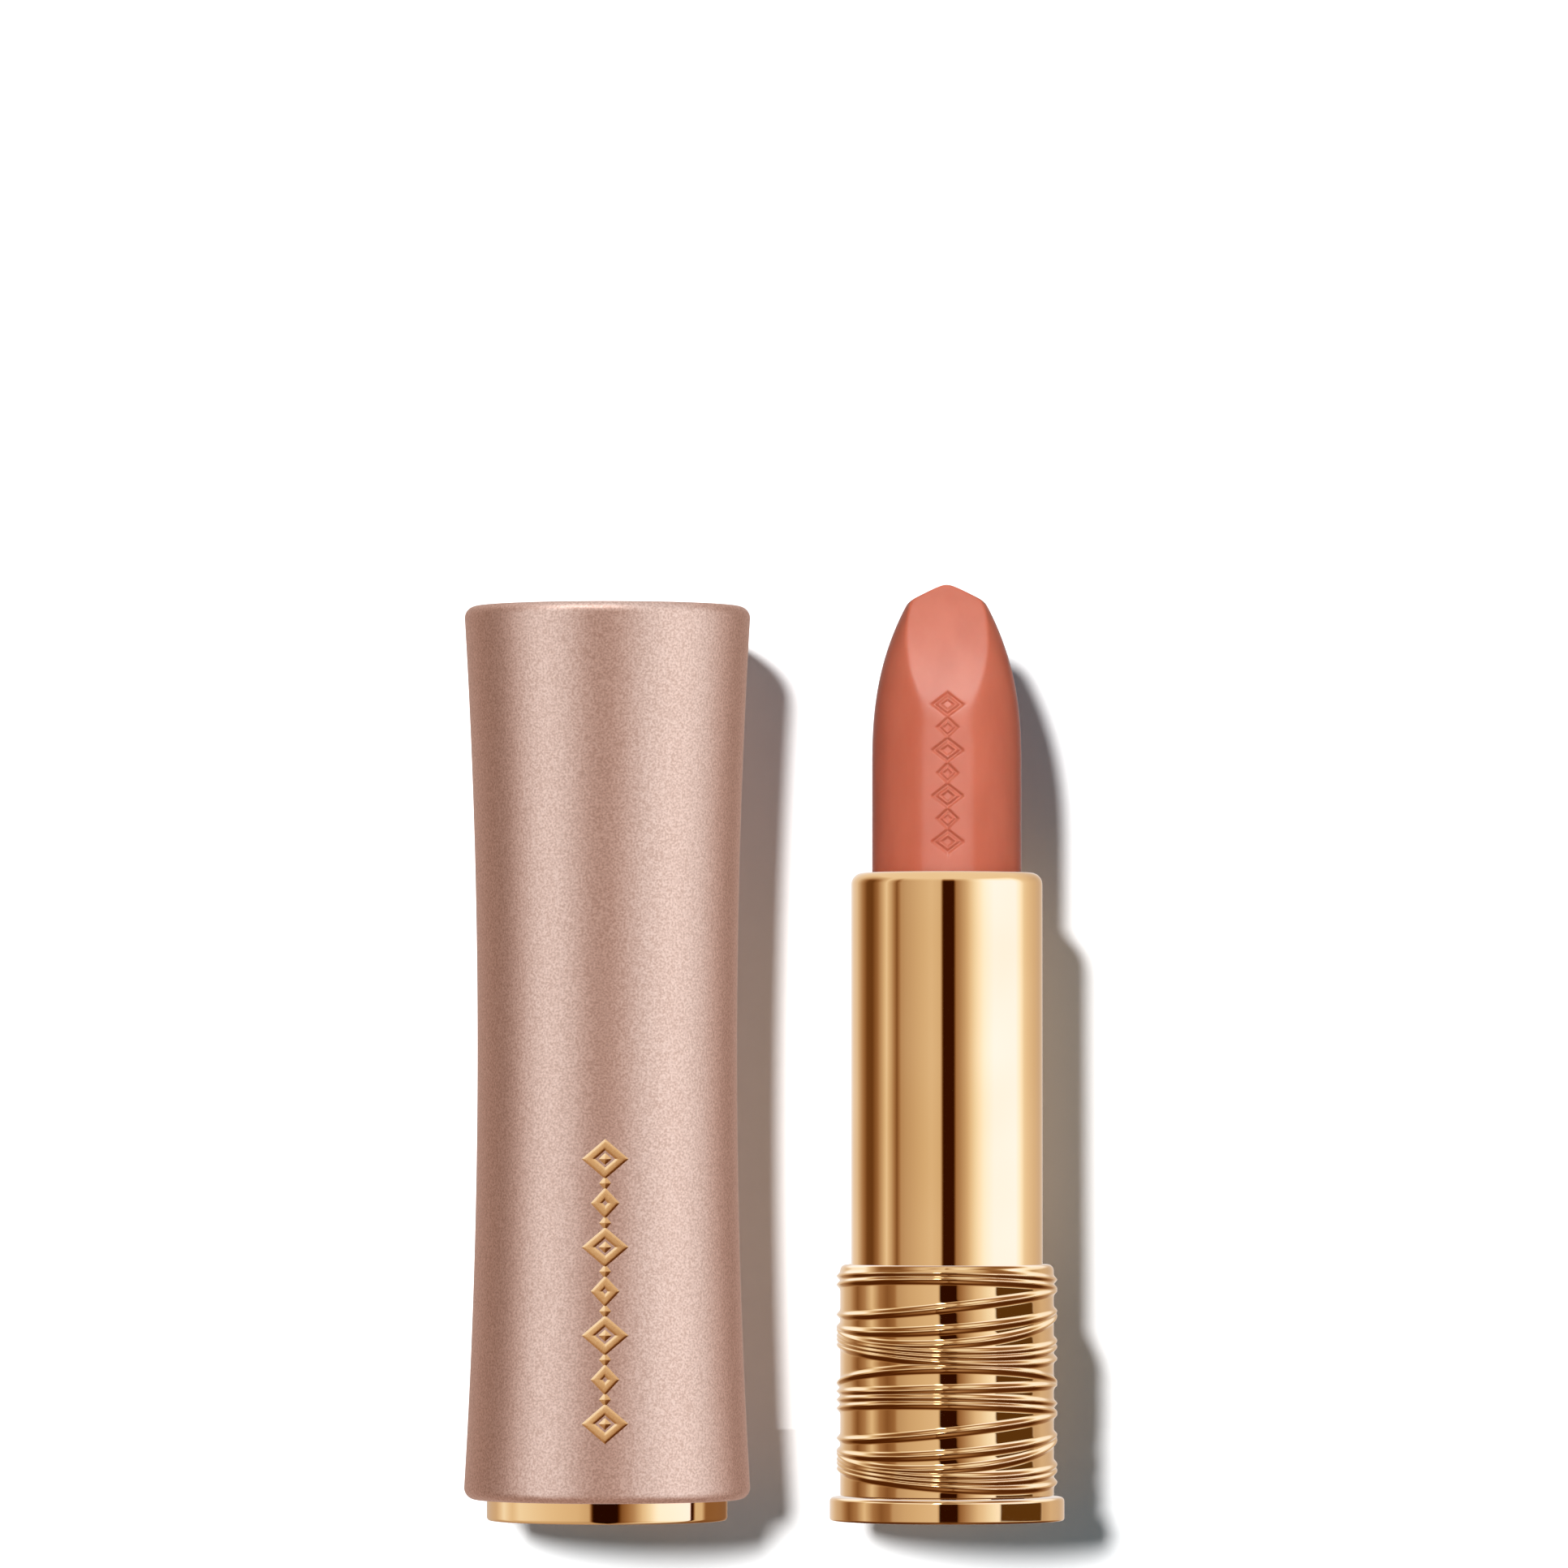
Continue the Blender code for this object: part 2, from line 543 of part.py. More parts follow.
def cap_liner(parent, plastic):
    hole = EJECTOR_STEM + EJECTOR_GAP
    fit = CAP_BORE - SEAT_GAP
    upper = LINER_BORE + LINER_WALL
    bead = LINER_BOTTOM + BEAD_ABOVE_MOUTH
    profile = [(hole, CEILING_TOP), (fit, CEILING_TOP), (fit, CEILING_UNDER)]
    profile += [(upper, CEILING_UNDER), (upper, STEP_UNDER + LINER_STEP)]
    profile += [(LINER_OUTER, STEP_UNDER + LINER_STEP), (LINER_OUTER, LINER_BOTTOM)]
    profile += [(LINER_INNER, LINER_BOTTOM), (LINER_INNER, bead - BEAD_HALF)]
    profile += [(LINER_INNER - SNAP_BEAD, bead), (LINER_INNER, bead + BEAD_HALF)]
    profile += [(LINER_INNER, STEP_UNDER), (LINER_BORE, STEP_UNDER)]
    profile += [(LINER_BORE, CEILING_UNDER), (hole, CEILING_UNDER)]
    turned("cap_liner", profile, parent, plastic)


def cap_mouth_ring(parent, gold):
    top = RING_SHOWN + SPIGOT_LENGTH
    profile = [(SPIGOT_INNER, top), (RING_OUTER, top)]
    profile += arc(RING_OUTER - RING_ROUND, RING_ROUND, RING_ROUND, 0, -90, 2)
    profile += [(LINER_INNER, 0), (LINER_INNER, RING_SHOWN), (SPIGOT_INNER, RING_SHOWN)]
    turned("cap_mouth_ring", profile, parent, gold)


def emblem_outline():
    """A slim rod threaded with lozenges, large and small in turn."""
    spacing = EMBLEM_HEIGHT / EMBLEM_LOZENGES
    right = []
    for i in range(EMBLEM_LOZENGES):
        centre = EMBLEM_BOTTOM + spacing * (i + 0.5)
        half_width = EMBLEM_SLIM if i % 2 else EMBLEM_WIDE
        half_height = spacing / 2 if i in (0, EMBLEM_LOZENGES - 1) else EMBLEM_TALL * spacing
        right += [(EMBLEM_ROD, centre - half_height), (half_width, centre)]
        right += [(EMBLEM_ROD, centre + half_height)]
    return right + [(-x, z) for x, z in reversed(right)]


def cap_emblem(parent, gold):
    side = cap_outline()
    band = [(r + EMBLEM_GLUE + EMBLEM_RISE, z) for r, z in side]
    band += [(r + EMBLEM_GLUE, z) for r, z in reversed(side)]
    emblem = turned("cap_emblem", band, parent, gold, CAP_FACETS)
    shape = prism_mesh("emblem_outline", emblem_outline(), CAP_WAIST / 2, FACING_FRONT)
    outline = new_cutter("emblem_outline", shape, parent)
    outline.location.y = -CAP_WAIST
    boolean(emblem, outline, "INTERSECT")


def push_button(parent, rose_gold):
    top = CAP_LENGTH - BUTTON_RECESS
    flange = CAP_BORE - BUTTON_GAP
    boss_bottom = BUTTON_UNDER - BUTTON_BOSS
    socket = EJECTOR_STEM + SEAT_GAP
    profile = [(0, top), (BUTTON_RADIUS - BUTTON_EDGE, top), (BUTTON_RADIUS, top - BUTTON_EDGE)]
    profile += [(BUTTON_RADIUS, BUTTON_SHOULDER), (flange, BUTTON_SHOULDER), (flange, BUTTON_UNDER)]
    profile += [(BUTTON_BOSS_RADIUS, BUTTON_UNDER), (BUTTON_BOSS_RADIUS, boss_bottom)]
    profile += [(socket, boss_bottom), (socket, BUTTON_UNDER), (0, BUTTON_UNDER)]
    turned("push_button", profile, parent, rose_gold)


def ejector(parent, plastic):
    plate = LINER_BORE - PLATE_GAP
    plate_top = EJECTOR_UNDER + EJECTOR_PLATE
    stem_top = BUTTON_UNDER - SEAT_GAP
    profile = [(0, stem_top), (EJECTOR_STEM, stem_top), (EJECTOR_STEM, plate_top)]
    profile += [(plate, plate_top), (plate, EJECTOR_UNDER), (0, EJECTOR_UNDER)]
    turned("ejector", profile, parent, plastic)


def button_spring(parent, steel):
    """An open coil round the ejector's stem, from the liner's ceiling to the button."""
    low = CEILING_TOP + SEAT_GAP + SPRING_WIRE
    high = BUTTON_UNDER - SEAT_GAP - SPRING_WIRE
    around = 12
    count = round(around * (high - low) / SPRING_PITCH) + 1
    curve = bpy.data.curves.new("button_spring", "CURVE")
    curve.dimensions = "3D"
    curve.bevel_depth = SPRING_WIRE
    curve.bevel_resolution = 1
    curve.use_fill_caps = True
    curve.materials.append(steel)
    spline = curve.splines.new("POLY")
    spline.points.add(count - 1)
    for i, point in enumerate(spline.points):
        angle = 2 * pi * i / around
        height = low + (high - low) * i / (count - 1)
        point.co = (SPRING_RADIUS * cos(angle), SPRING_RADIUS * sin(angle), height, 1)
    spring = bpy.data.objects.new("button_spring", curve)
    spring.parent = parent
    PARTS.objects.link(spring)


# ---------------------------------------------------------------- the whole


def shade_all():
    """Makes each turned or cut piece a plain mesh, smooth up to its real corners."""
    bpy.context.view_layer.update()
    graph = bpy.context.evaluated_depsgraph_get()
    pieces = [piece for piece in PARTS.objects if piece.type == "MESH"]
    made = [bpy.data.meshes.new_from_object(piece.evaluated_get(graph)) for piece in pieces]
    for piece, mesh in zip(pieces, made):
        piece.modifiers.clear()
        piece.data = mesh
        mesh.name = piece.name
        mesh.shade_smooth()
        mesh.set_sharp_from_angle(angle=SHARP_ANGLE)


def build():
    gold = finish("polished_gold", (0.86, 0.58, 0.28), 0.08, 1.0)
    rose_gold = finish("satin_rose_gold", (0.72, 0.47, 0.36), 0.32, 1.0)
    wax = finish("coral_lipstick", (0.66, 0.15, 0.11), 0.45, 0.0)
    ivory = finish("ivory_plastic", (0.80, 0.77, 0.70), 0.45, 0.0)
    black = finish("black_plastic", (0.03, 0.03, 0.03), 0.40, 0.0)
    steel = finish("steel", (0.55, 0.55, 0.56), 0.30, 1.0)
    rubber = finish("brake_rubber", (0.05, 0.05, 0.05), 0.80, 0.0)
    card = finish("label_card", (0.85, 0.80, 0.72), 0.60, 0.0)

    case = frame("case_frame", (0, 0, 0))
    foot_plate(case, gold)
    shade_label(case, card)
    grip_shell(case, gold)
    base_insert(case, black)
    base_weight(case, steel)
    guide_tube(case, ivory)
    brake_ring(case, rubber)

    sleeve = frame("sleeve_frame", (0, 0, 0), case)
    outer_sleeve(sleeve, gold)
    cam_tube(sleeve, ivory)

    carrier = frame("carrier_frame", (0, 0, 0), case)
    carrier_cup(carrier, ivory)
    bullet(carrier, wax)

    cap = frame("cap_frame", (CAP_X, 0, 0))
    cap_shell(cap, rose_gold)
    cap_liner(cap, black)
    cap_mouth_ring(cap, gold)
    cap_emblem(cap, gold)

    button = frame("button_frame", (0, 0, 0), cap)
    push_button(button, rose_gold)
    ejector(button, black)
    button_spring(button, steel)
    shade_all()


clear_scene()
PARTS = new_collection("lipstick_case")
CUTTERS = new_collection("cutters", hidden=True)
build()
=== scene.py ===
"""An open twist-up lipstick beside its waisted cap: fine meshes, materials and studio.

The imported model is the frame. Lengths are in metres, +Z is up and the front faces -Y. Azimuths are
in degrees from the front, positive towards +X.
"""

import json
from math import acos, cos, pi, radians, sin, tan

import bpy
import numpy as np
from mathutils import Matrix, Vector

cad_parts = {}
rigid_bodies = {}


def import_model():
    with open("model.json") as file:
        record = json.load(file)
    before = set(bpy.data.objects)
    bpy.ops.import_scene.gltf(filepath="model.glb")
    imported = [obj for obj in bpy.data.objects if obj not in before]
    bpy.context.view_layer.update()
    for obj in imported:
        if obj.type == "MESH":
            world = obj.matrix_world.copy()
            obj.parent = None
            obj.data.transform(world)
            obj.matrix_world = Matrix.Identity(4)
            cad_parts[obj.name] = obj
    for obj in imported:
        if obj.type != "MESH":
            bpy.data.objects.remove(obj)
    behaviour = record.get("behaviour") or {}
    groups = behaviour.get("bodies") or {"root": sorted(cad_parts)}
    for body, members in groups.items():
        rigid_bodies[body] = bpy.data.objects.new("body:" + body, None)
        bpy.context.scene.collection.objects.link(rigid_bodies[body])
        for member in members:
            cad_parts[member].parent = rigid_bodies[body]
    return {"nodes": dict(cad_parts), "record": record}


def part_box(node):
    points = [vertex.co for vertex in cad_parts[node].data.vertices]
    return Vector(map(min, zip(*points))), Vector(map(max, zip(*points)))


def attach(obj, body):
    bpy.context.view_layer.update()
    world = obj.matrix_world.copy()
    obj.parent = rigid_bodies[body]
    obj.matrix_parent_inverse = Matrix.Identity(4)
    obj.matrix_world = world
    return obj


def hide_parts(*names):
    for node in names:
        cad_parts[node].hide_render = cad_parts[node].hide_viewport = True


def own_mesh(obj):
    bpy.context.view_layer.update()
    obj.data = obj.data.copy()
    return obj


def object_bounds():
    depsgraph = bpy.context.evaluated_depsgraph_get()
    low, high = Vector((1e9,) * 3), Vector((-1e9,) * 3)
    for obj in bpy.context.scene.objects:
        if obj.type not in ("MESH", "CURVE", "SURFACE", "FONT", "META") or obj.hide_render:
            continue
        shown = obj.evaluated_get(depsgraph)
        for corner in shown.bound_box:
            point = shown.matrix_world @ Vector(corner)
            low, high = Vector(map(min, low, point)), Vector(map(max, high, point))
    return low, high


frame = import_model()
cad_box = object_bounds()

MM = 0.001
FRONT = -pi / 2  # the angle round Z at which the front lies

# Case
GRIP_CORE = 8.65 * MM
GRIP_WALL = 0.75 * MM
STRAND_RISE = 0.28 * MM
STRAND_SPREAD = 0.24 * MM
RIM_ROUND = 0.5 * MM
WALL_STEP = 0.04 * MM
FOOT_BOSS = GRIP_CORE - 0.85 * MM  # the part of the foot that goes up inside the grip
FOOT_UNDERCUT = 0.1 * MM  # from the foot's shoulder to the grip that stands on it
LABEL_GAP = 0.1 * MM
LABEL_SEAT = 0.4 * MM  # height of the recess's ceiling
LIP_OPENING = 6.2 * MM
LIP_THICKNESS = 0.35 * MM
SLEEVE_WALL = 0.3 * MM
SLEEVE_ROUND = 0.95 * MM

# The wound pattern: height of each strand, how far it climbs to the right and to the front.
STRAND_START = 1.65 * MM
STRAND_PITCH = 10.0 * MM
STRANDS = (
    (0.00 * MM, -0.55 * MM, -0.70 * MM),
    (0.70 * MM, -0.30 * MM, -0.95 * MM),
    (1.10 * MM, -0.20 * MM, -0.95 * MM),
    (2.35 * MM, 0.55 * MM, -1.60 * MM),
    (2.65 * MM, 0.65 * MM, -0.70 * MM),
    (3.95 * MM, 0.95 * MM, -0.25 * MM),
    (5.25 * MM, -0.15 * MM, 0.70 * MM),
    (5.95 * MM, -0.15 * MM, 0.50 * MM),
    (7.05 * MM, 0.25 * MM, 0.10 * MM),
    (7.50 * MM, 0.05 * MM, 1.35 * MM),
)

# Bullet
FLAT_DEPTH = 0.27 * MM
TIP_LENGTH = 14.8 * MM
FACE_LENGTH = 11.45 * MM
TIP_HALF_WIDTH = 2.3 * MM
TIP_HALF_DEPTH = 0.23 * MM
ROOF_SLOPE = radians(28)
ROOF_ROUND = 0.3 * MM
ENGRAVED_DEPTH = 0.2 * MM
ENGRAVED_HALF = 0.15 * MM
ENGRAVED_FROM, ENGRAVED_TO = 1.5 * MM, 14.4 * MM  # above the sleeve's lip
ENGRAVED_REACH = 1.3 * MM  # to each side of the middle
STEM_STEP = 0.15 * MM  # the bullet is slimmer where the carrier holds it
STEM_DROP = 0.55 * MM  # and the step lies this far below the lip
SIDE_POWER = 2.5  # how suddenly the tip's sides curve in
FACE_POWER = 1.45  # and its face
FLAT_POWER = 60  # the higher, the crisper the edges of the flat
ROOF_POWER = 22  # and of the roof

# Cap
CAP_FLARE = 1.06 * MM
CAP_ROUND = 0.95 * MM
CAP_BORE = 9.83 * MM
CAP_LIP = 0.8 * MM
BUTTON_FLANGE = 0.75 * MM
FLANGE_HEIGHT = 0.8 * MM
BUTTON_GAP = 0.1 * MM
BUTTON_DISH = 0.12 * MM
BUTTON_BOSS, BUTTON_SOCKET = 3.0 * MM, 1.9 * MM
RING_WALL = 0.66 * MM
RING_SPIGOT = 0.28 * MM
RING_SHOWN = 1.7 * MM
SPRING_WIRE = 0.25 * MM
SPRING_PITCH = 2.7 * MM

# Chains of lozenges: the raised one on the cap, and the engraved one on the bullet
LOZENGES = 7
BAR_WIDTH = 0.72 * MM
BAR_RISE = 0.24 * MM
BAR_SINK = 0.03 * MM
BAR_ROUND = 0.22 * MM
LARGE_SHARE, SMALL_SHARE = 0.46, 0.36  # half-heights, as shares of the spacing
INNER_SHARE = 0.30  # size of the lozenge inside each engraved one

# Stage
TENT_RADIUS, TENT_STEP = 0.50, 0.01
OVERHEAD = 0.95  # brightness above the polished pieces
FLOOR_DROP = 5.2 * MM  # from the feet down to the floor
CARD_GAP = 0.45 * MM  # from the pieces back to the card
CARD_REACH = 0.4
SEAM = 7.0 * MM  # the height at which the card's two strips meet
LAMP_STRENGTH = 14.0  # enough to burn the card out to white where no shadow falls
LAMP_DISTANCE = 0.5
LAMP_LEFT = 0.155
LAMP_SIZE = 0.083
FOOT_FALL, CARD_FALL = 0.168, 0.57  # how far the shadows drop on each strip


# ---------------------------------------------------------------- meshes


def rounded(corners, steps=7):
    """A closed profile through corners of (radius, height, fillet), each rounded by its fillet."""
    profile = []
    for i, (r, z, fillet) in enumerate(corners):
        corner = np.array((r, z))
        if not fillet:
            profile.append(corner)
            continue
        before = np.array(corners[i - 1][:2]) - corner
        after = np.array(corners[(i + 1) % len(corners)][:2]) - corner
        before /= np.linalg.norm(before)
        after /= np.linalg.norm(after)
        half = acos(np.clip(before @ after, -1, 1)) / 2
        inward = (before + after) / np.linalg.norm(before + after)
        centre = corner + inward * fillet / sin(half)
        start = corner + before * fillet / tan(half) - centre
        end = corner + after * fillet / tan(half) - centre
        turn = pi - 2 * half
        for share in np.linspace(0, 1, steps + 1):
            spoke = (sin((1 - share) * turn) * start + sin(share * turn) * end) / sin(turn)
            profile.append(centre + spoke)
    return np.array(profile)


def divided(profile, longest, beyond):
    """The closed profile with its long straight runs split, where they lie beyond a radius."""
    points = []
    for here, there in zip(profile, np.roll(profile, -1, axis=0)):
        outside = min(here[0], there[0]) > beyond
        count = int(np.ceil(np.linalg.norm(there - here) / longest)) if outside else 1
        points += [here + (there - here) * i / count for i in range(count)]
    return np.array(points)


def skin(points, closed):
    """Vertices and faces over a grid of points that closes on itself along its second axis.

    If closed, the last row also meets the first. If not, both end rows are filled.
    """
    rows, columns, _ = points.shape
    index = np.arange(rows * columns).reshape(rows, columns)
    nearer = index if closed else index[:-1]
    further = np.roll(index, -1, axis=0) if closed else index[1:]
    corners = (nearer, np.roll(nearer, -1, axis=1), np.roll(further, -1, axis=1), further)
    faces = np.stack(corners, axis=-1).reshape(-1, 4).tolist()
    vertices = points.reshape(-1, 3)
    if not closed:
        hubs = (points[0].mean(0), points[-1].mean(0))
        vertices = np.vstack([vertices, *[hub[None] for hub in hubs]])
        for row, hub, step in ((index[0], rows * columns, -1), (index[-1], rows * columns + 1, 1)):
            faces += [[int(a), int(b), hub] for a, b in zip(row, np.roll(row, -1))][::step]
    return vertices, faces


def piece(name, *skins, sharp=40):
    """One object from skins, each turned so that its faces point out."""
    vertices, faces = [], []
    for points, polygons in skins:
        corners = [points[np.array([f[:3] for f in polygons])]]
        corners += [points[np.array([[f[0], f[2], f[3]] for f in polygons if len(f) == 4])]]
        if np.linalg.det(np.vstack(corners)).sum() < 0:
            polygons = [f[::-1] for f in polygons]
        offset = sum(len(v) for v in vertices)
        faces += [[offset + i for i in f] for f in polygons]
        vertices.append(points)
    mesh = bpy.data.meshes.new(name)
    mesh.from_pydata(np.vstack(vertices), [], faces)
    mesh.shade_smooth()
    mesh.set_sharp_from_angle(angle=radians(sharp))
    made = bpy.data.objects.new(name, mesh)
    bpy.context.scene.collection.objects.link(made)
    return made


def turned(profile, centre=0.0, around=256, relief=None, start_on_axis=False):
    """A skin over a profile of (radius, height) points spun round Z, at centre along X."""
    profile = np.asarray(profile)
    angle = np.linspace(0, 2 * pi, around, endpoint=False)[None, :]
    r = np.repeat(profile[:, :1], around, axis=1)
    z = np.repeat(profile[:, 1:], around, axis=1)
    if relief:
        r = r + relief(r, z, angle)
    points = np.stack([centre + r * np.cos(angle), r * np.sin(angle), z], axis=-1)
    return skin(points, closed=not start_on_axis)


def show(made, body, slot, material, *nodes):
    """Puts the piece on its body, in place of the CAD nodes that it stands for."""
    made.data.materials.append(material)
    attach(made, body)
    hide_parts(*nodes)
    return made


def bumps(distance, half_width):
    """A smooth ridge, 1 on its crest, that fades out to each side."""
    return np.exp(-((distance / half_width) ** 2))


# ---------------------------------------------------------------- materials


def shader(name, colour=None, roughness=None, metallic=0.0):
    """A material and its Principled shader, with the values that are the same all over."""
    material = bpy.data.materials.new(name)
    material.use_nodes = True
    principled = material.node_tree.nodes["Principled BSDF"]
    principled.inputs["Metallic"].default_value = metallic
    if colour:
        principled.inputs["Base Color"].default_value = (*colour, 1)
    if roughness is not None:
        principled.inputs["Roughness"].default_value = roughness
    return material, principled


def noise(material, scale, detail=2.0, stretch=(1, 1, 1)):
    """Noise of about 1/scale metres a grain, fixed to the piece."""
    nodes, links = material.node_tree.nodes, material.node_tree.links
    place = nodes.new("ShaderNodeTexCoord")
    mapping = nodes.new("ShaderNodeMapping")
    mapping.inputs["Scale"].default_value = stretch
    texture = nodes.new("ShaderNodeTexNoise")
    texture.inputs["Scale"].default_value = scale
    texture.inputs["Detail"].default_value = detail
    links.new(place.outputs["Object"], mapping.inputs["Vector"])
    links.new(mapping.outputs["Vector"], texture.inputs["Vector"])
    return texture.outputs["Fac"]


def between(material, factor, socket, low, high, start=0.35, end=0.65):
    """Drives a number or a colour of the shader from low to high as the factor rises."""
    nodes, links = material.node_tree.nodes, material.node_tree.links
    spread = nodes.new("ShaderNodeMapRange")
    spread.inputs["From Min"].default_value = start
    spread.inputs["From Max"].default_value = end
    links.new(factor, spread.inputs["Value"])
    if not isinstance(low, tuple):
        spread.inputs["To Min"].default_value = low
        spread.inputs["To Max"].default_value = high
        links.new(spread.outputs["Result"], socket)
        return
    mix = nodes.new("ShaderNodeMix")
    mix.data_type = "RGBA"
    mix.inputs["A"].default_value = (*low, 1)
    mix.inputs["B"].default_value = (*high, 1)
    links.new(spread.outputs["Result"], mix.inputs["Factor"])
    links.new(mix.outputs["Result"], socket)


def bump(material, principled, factor, depth, strength=1.0):
    nodes, links = material.node_tree.nodes, material.node_tree.links
    node = nodes.new("ShaderNodeBump")
    node.inputs["Distance"].default_value = depth
    node.inputs["Strength"].default_value = strength
    links.new(factor, node.inputs["Height"])
    links.new(node.outputs["Normal"], principled.inputs["Normal"])


def polished_gold():
    """Mirror-bright anodised gold, with faint haze and the slow ripple of drawn metal."""
    material, principled = shader("polished_gold", metallic=1.0)
    ripple = noise(material, 90, 1.0)
    haze = noise(material, 2600, 3.0)
    between(material, ripple, principled.inputs["Base Color"], (0.85, 0.565, 0.265), (0.88, 0.60, 0.30))
    between(material, haze, principled.inputs["Roughness"], 0.02, 0.05)
    bump(material, principled, ripple, 0.006 * MM)
    return material


def brushed_gold():
    """The same gold with a fine matt, as on a small pressed ornament."""
    material, principled = shader("brushed_gold", metallic=1.0)
    grain = noise(material, 7000, 3.0)
    between(material, grain, principled.inputs["Base Color"], (0.84, 0.53, 0.25), (0.90, 0.60, 0.31))
    between(material, grain, principled.inputs["Roughness"], 0.20, 0.30)
    bump(material, principled, grain, 0.006 * MM, 0.5)
    return material


def satin_rose_gold():
    """Metallic lacquer over metal: a fine bright grain in a soft sheen."""
    material, principled = shader("satin_rose_gold", metallic=1.0)
    grain = noise(material, 5800, 2.0)
    fine = noise(material, 11000, 1.0)
    between(material, grain, principled.inputs["Base Color"], (0.68, 0.45, 0.37), (0.93, 0.69, 0.60))
    between(material, fine, principled.inputs["Roughness"], 0.33, 0.43)
    bump(material, principled, grain, 0.016 * MM, 0.8)
    return material


def lipstick_wax():
    """Satin wax: light goes a little way in, and the mould leaves a faint grain."""
    material, principled = shader("lipstick_wax")
    cloud = noise(material, 420, 3.0, (1, 1, 0.35))
    grain = noise(material, 9000, 2.0)
    between(material, cloud, principled.inputs["Base Color"], (0.50, 0.100, 0.052), (0.54, 0.115, 0.062))
    between(material, grain, principled.inputs["Roughness"], 0.28, 0.36)
    principled.inputs["Subsurface Weight"].default_value = 0.2
    principled.inputs["Subsurface Radius"].default_value = (1.0, 0.35, 0.2)
    principled.inputs["Subsurface Scale"].default_value = 0.2 * MM
    bump(material, principled, grain, 0.004 * MM, 0.5)
    return material


def moulded(name, dark, light, low=0.38, high=0.55):
    """A moulded plastic or rubber: a fine spark-eroded grain, and colour that varies a little."""
    material, principled = shader(name)
    grain = noise(material, 6000, 2.0)
    cloud = noise(material, 300, 2.0)
    between(material, cloud, principled.inputs["Base Color"], dark, light)
    between(material, grain, principled.inputs["Roughness"], low, high)
    bump(material, principled, grain, 0.005 * MM, 0.5)
    return material


def turned_steel():
    """Bright steel with fine rings from the lathe."""
    material, principled = shader("turned_steel", metallic=1.0)
    rings = noise(material, 5000, 2.0, (0.05, 0.05, 1))
    between(material, rings, principled.inputs["Base Color"], (0.50, 0.50, 0.51), (0.62, 0.62, 0.62))
    between(material, rings, principled.inputs["Roughness"], 0.22, 0.36)
    bump(material, principled, rings, 0.003 * MM, 0.5)
    return material


# ---------------------------------------------------------------- case


def strand_heights(bottom, top, angle):
    """The height of each strand's crest at each angle round the grip."""
    start = bottom + STRAND_START
    while start < top:
        for rise, climb_right, climb_front in STRANDS:
            reach = (climb_right**2 + climb_front**2) ** 0.5
            if start + rise + reach < top:
                yield start + rise + climb_right * np.cos(angle) - climb_front * np.sin(angle)
        start += STRAND_PITCH


def wound_grip(gold):
    """The grip's shell, with strands that rise from its skin and run into each other."""
    low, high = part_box("grip_shell")
    inner = GRIP_CORE - GRIP_WALL

    def wound(r, z, angle):
        total = np.zeros(z.shape)
        for crest in strand_heights(low.z, high.z - RIM_ROUND, angle):
            total += bumps(z - crest, STRAND_SPREAD) ** 4
        outside = np.clip((r - inner) / (GRIP_CORE - inner), 0, 1) ** 8
        return STRAND_RISE * total**0.25 * outside

    corners = [(inner, high.z, 0.15 * MM), (GRIP_CORE, high.z, RIM_ROUND)]
    corners += [(GRIP_CORE, low.z, 0.1 * MM), (inner, low.z, 0)]
    profile = divided(rounded(corners), WALL_STEP, GRIP_CORE - 0.1 * MM)
    grip = piece("wound_grip", turned(profile, around=520, relief=wound), sharp=60)
    show(grip, "base", "polished_gold", gold, "grip_shell")


def foot_rim(gold):
    """The foot: a rim that the grip stands on, with a boss inside it and a recess for the label."""
    low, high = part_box("foot_plate")
    radius = high.x
    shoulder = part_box("grip_shell")[0].z - FOOT_UNDERCUT
    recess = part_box("shade_label")[1].x + LABEL_GAP
    corners = [(0, high.z, 0), (FOOT_BOSS, high.z, 0.1 * MM), (FOOT_BOSS, shoulder, 0)]
    corners += [(radius, shoulder, 0.34 * MM), (radius, low.z, 0.2 * MM)]
    corners += [(recess, low.z, 0.06 * MM), (recess, LABEL_SEAT, 0), (0, LABEL_SEAT, 0)]
    profile = rounded(corners)
    foot = piece("foot_rim", turned(profile, start_on_axis=True))
    show(foot, "base", "polished_gold", gold, "foot_plate")


def sleeve_tube(gold):
    """The drawn sleeve, with its lip rolled in over the bullet."""
    low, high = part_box("outer_sleeve")
    outer = high.x
    inner = outer - SLEEVE_WALL
    under_lip = high.z - LIP_THICKNESS
    corners = [(LIP_OPENING, high.z, 0.15 * MM), (outer, high.z, SLEEVE_ROUND)]
    corners += [(outer, low.z, 0.05 * MM), (inner, low.z, 0.05 * MM)]
    corners += [(inner, under_lip, 0.6 * MM), (LIP_OPENING, under_lip, 0.1 * MM)]
    sleeve = piece("sleeve_tube", turned(rounded(corners, 12), around=360))
    show(sleeve, "sleeve", "polished_gold", gold, "outer_sleeve")


def chain(bottom, top, wide, slim):
    """Centre, half-width and half-height of each lozenge of a chain, large and small in turn."""
    spacing = (top - bottom) / LOZENGES
    for i in range(LOZENGES):
        half_width = slim if i % 2 else wide
        half_height = spacing * (SMALL_SHARE if i % 2 else LARGE_SHARE)
        yield bottom + spacing * (i + 0.5), half_width, half_height


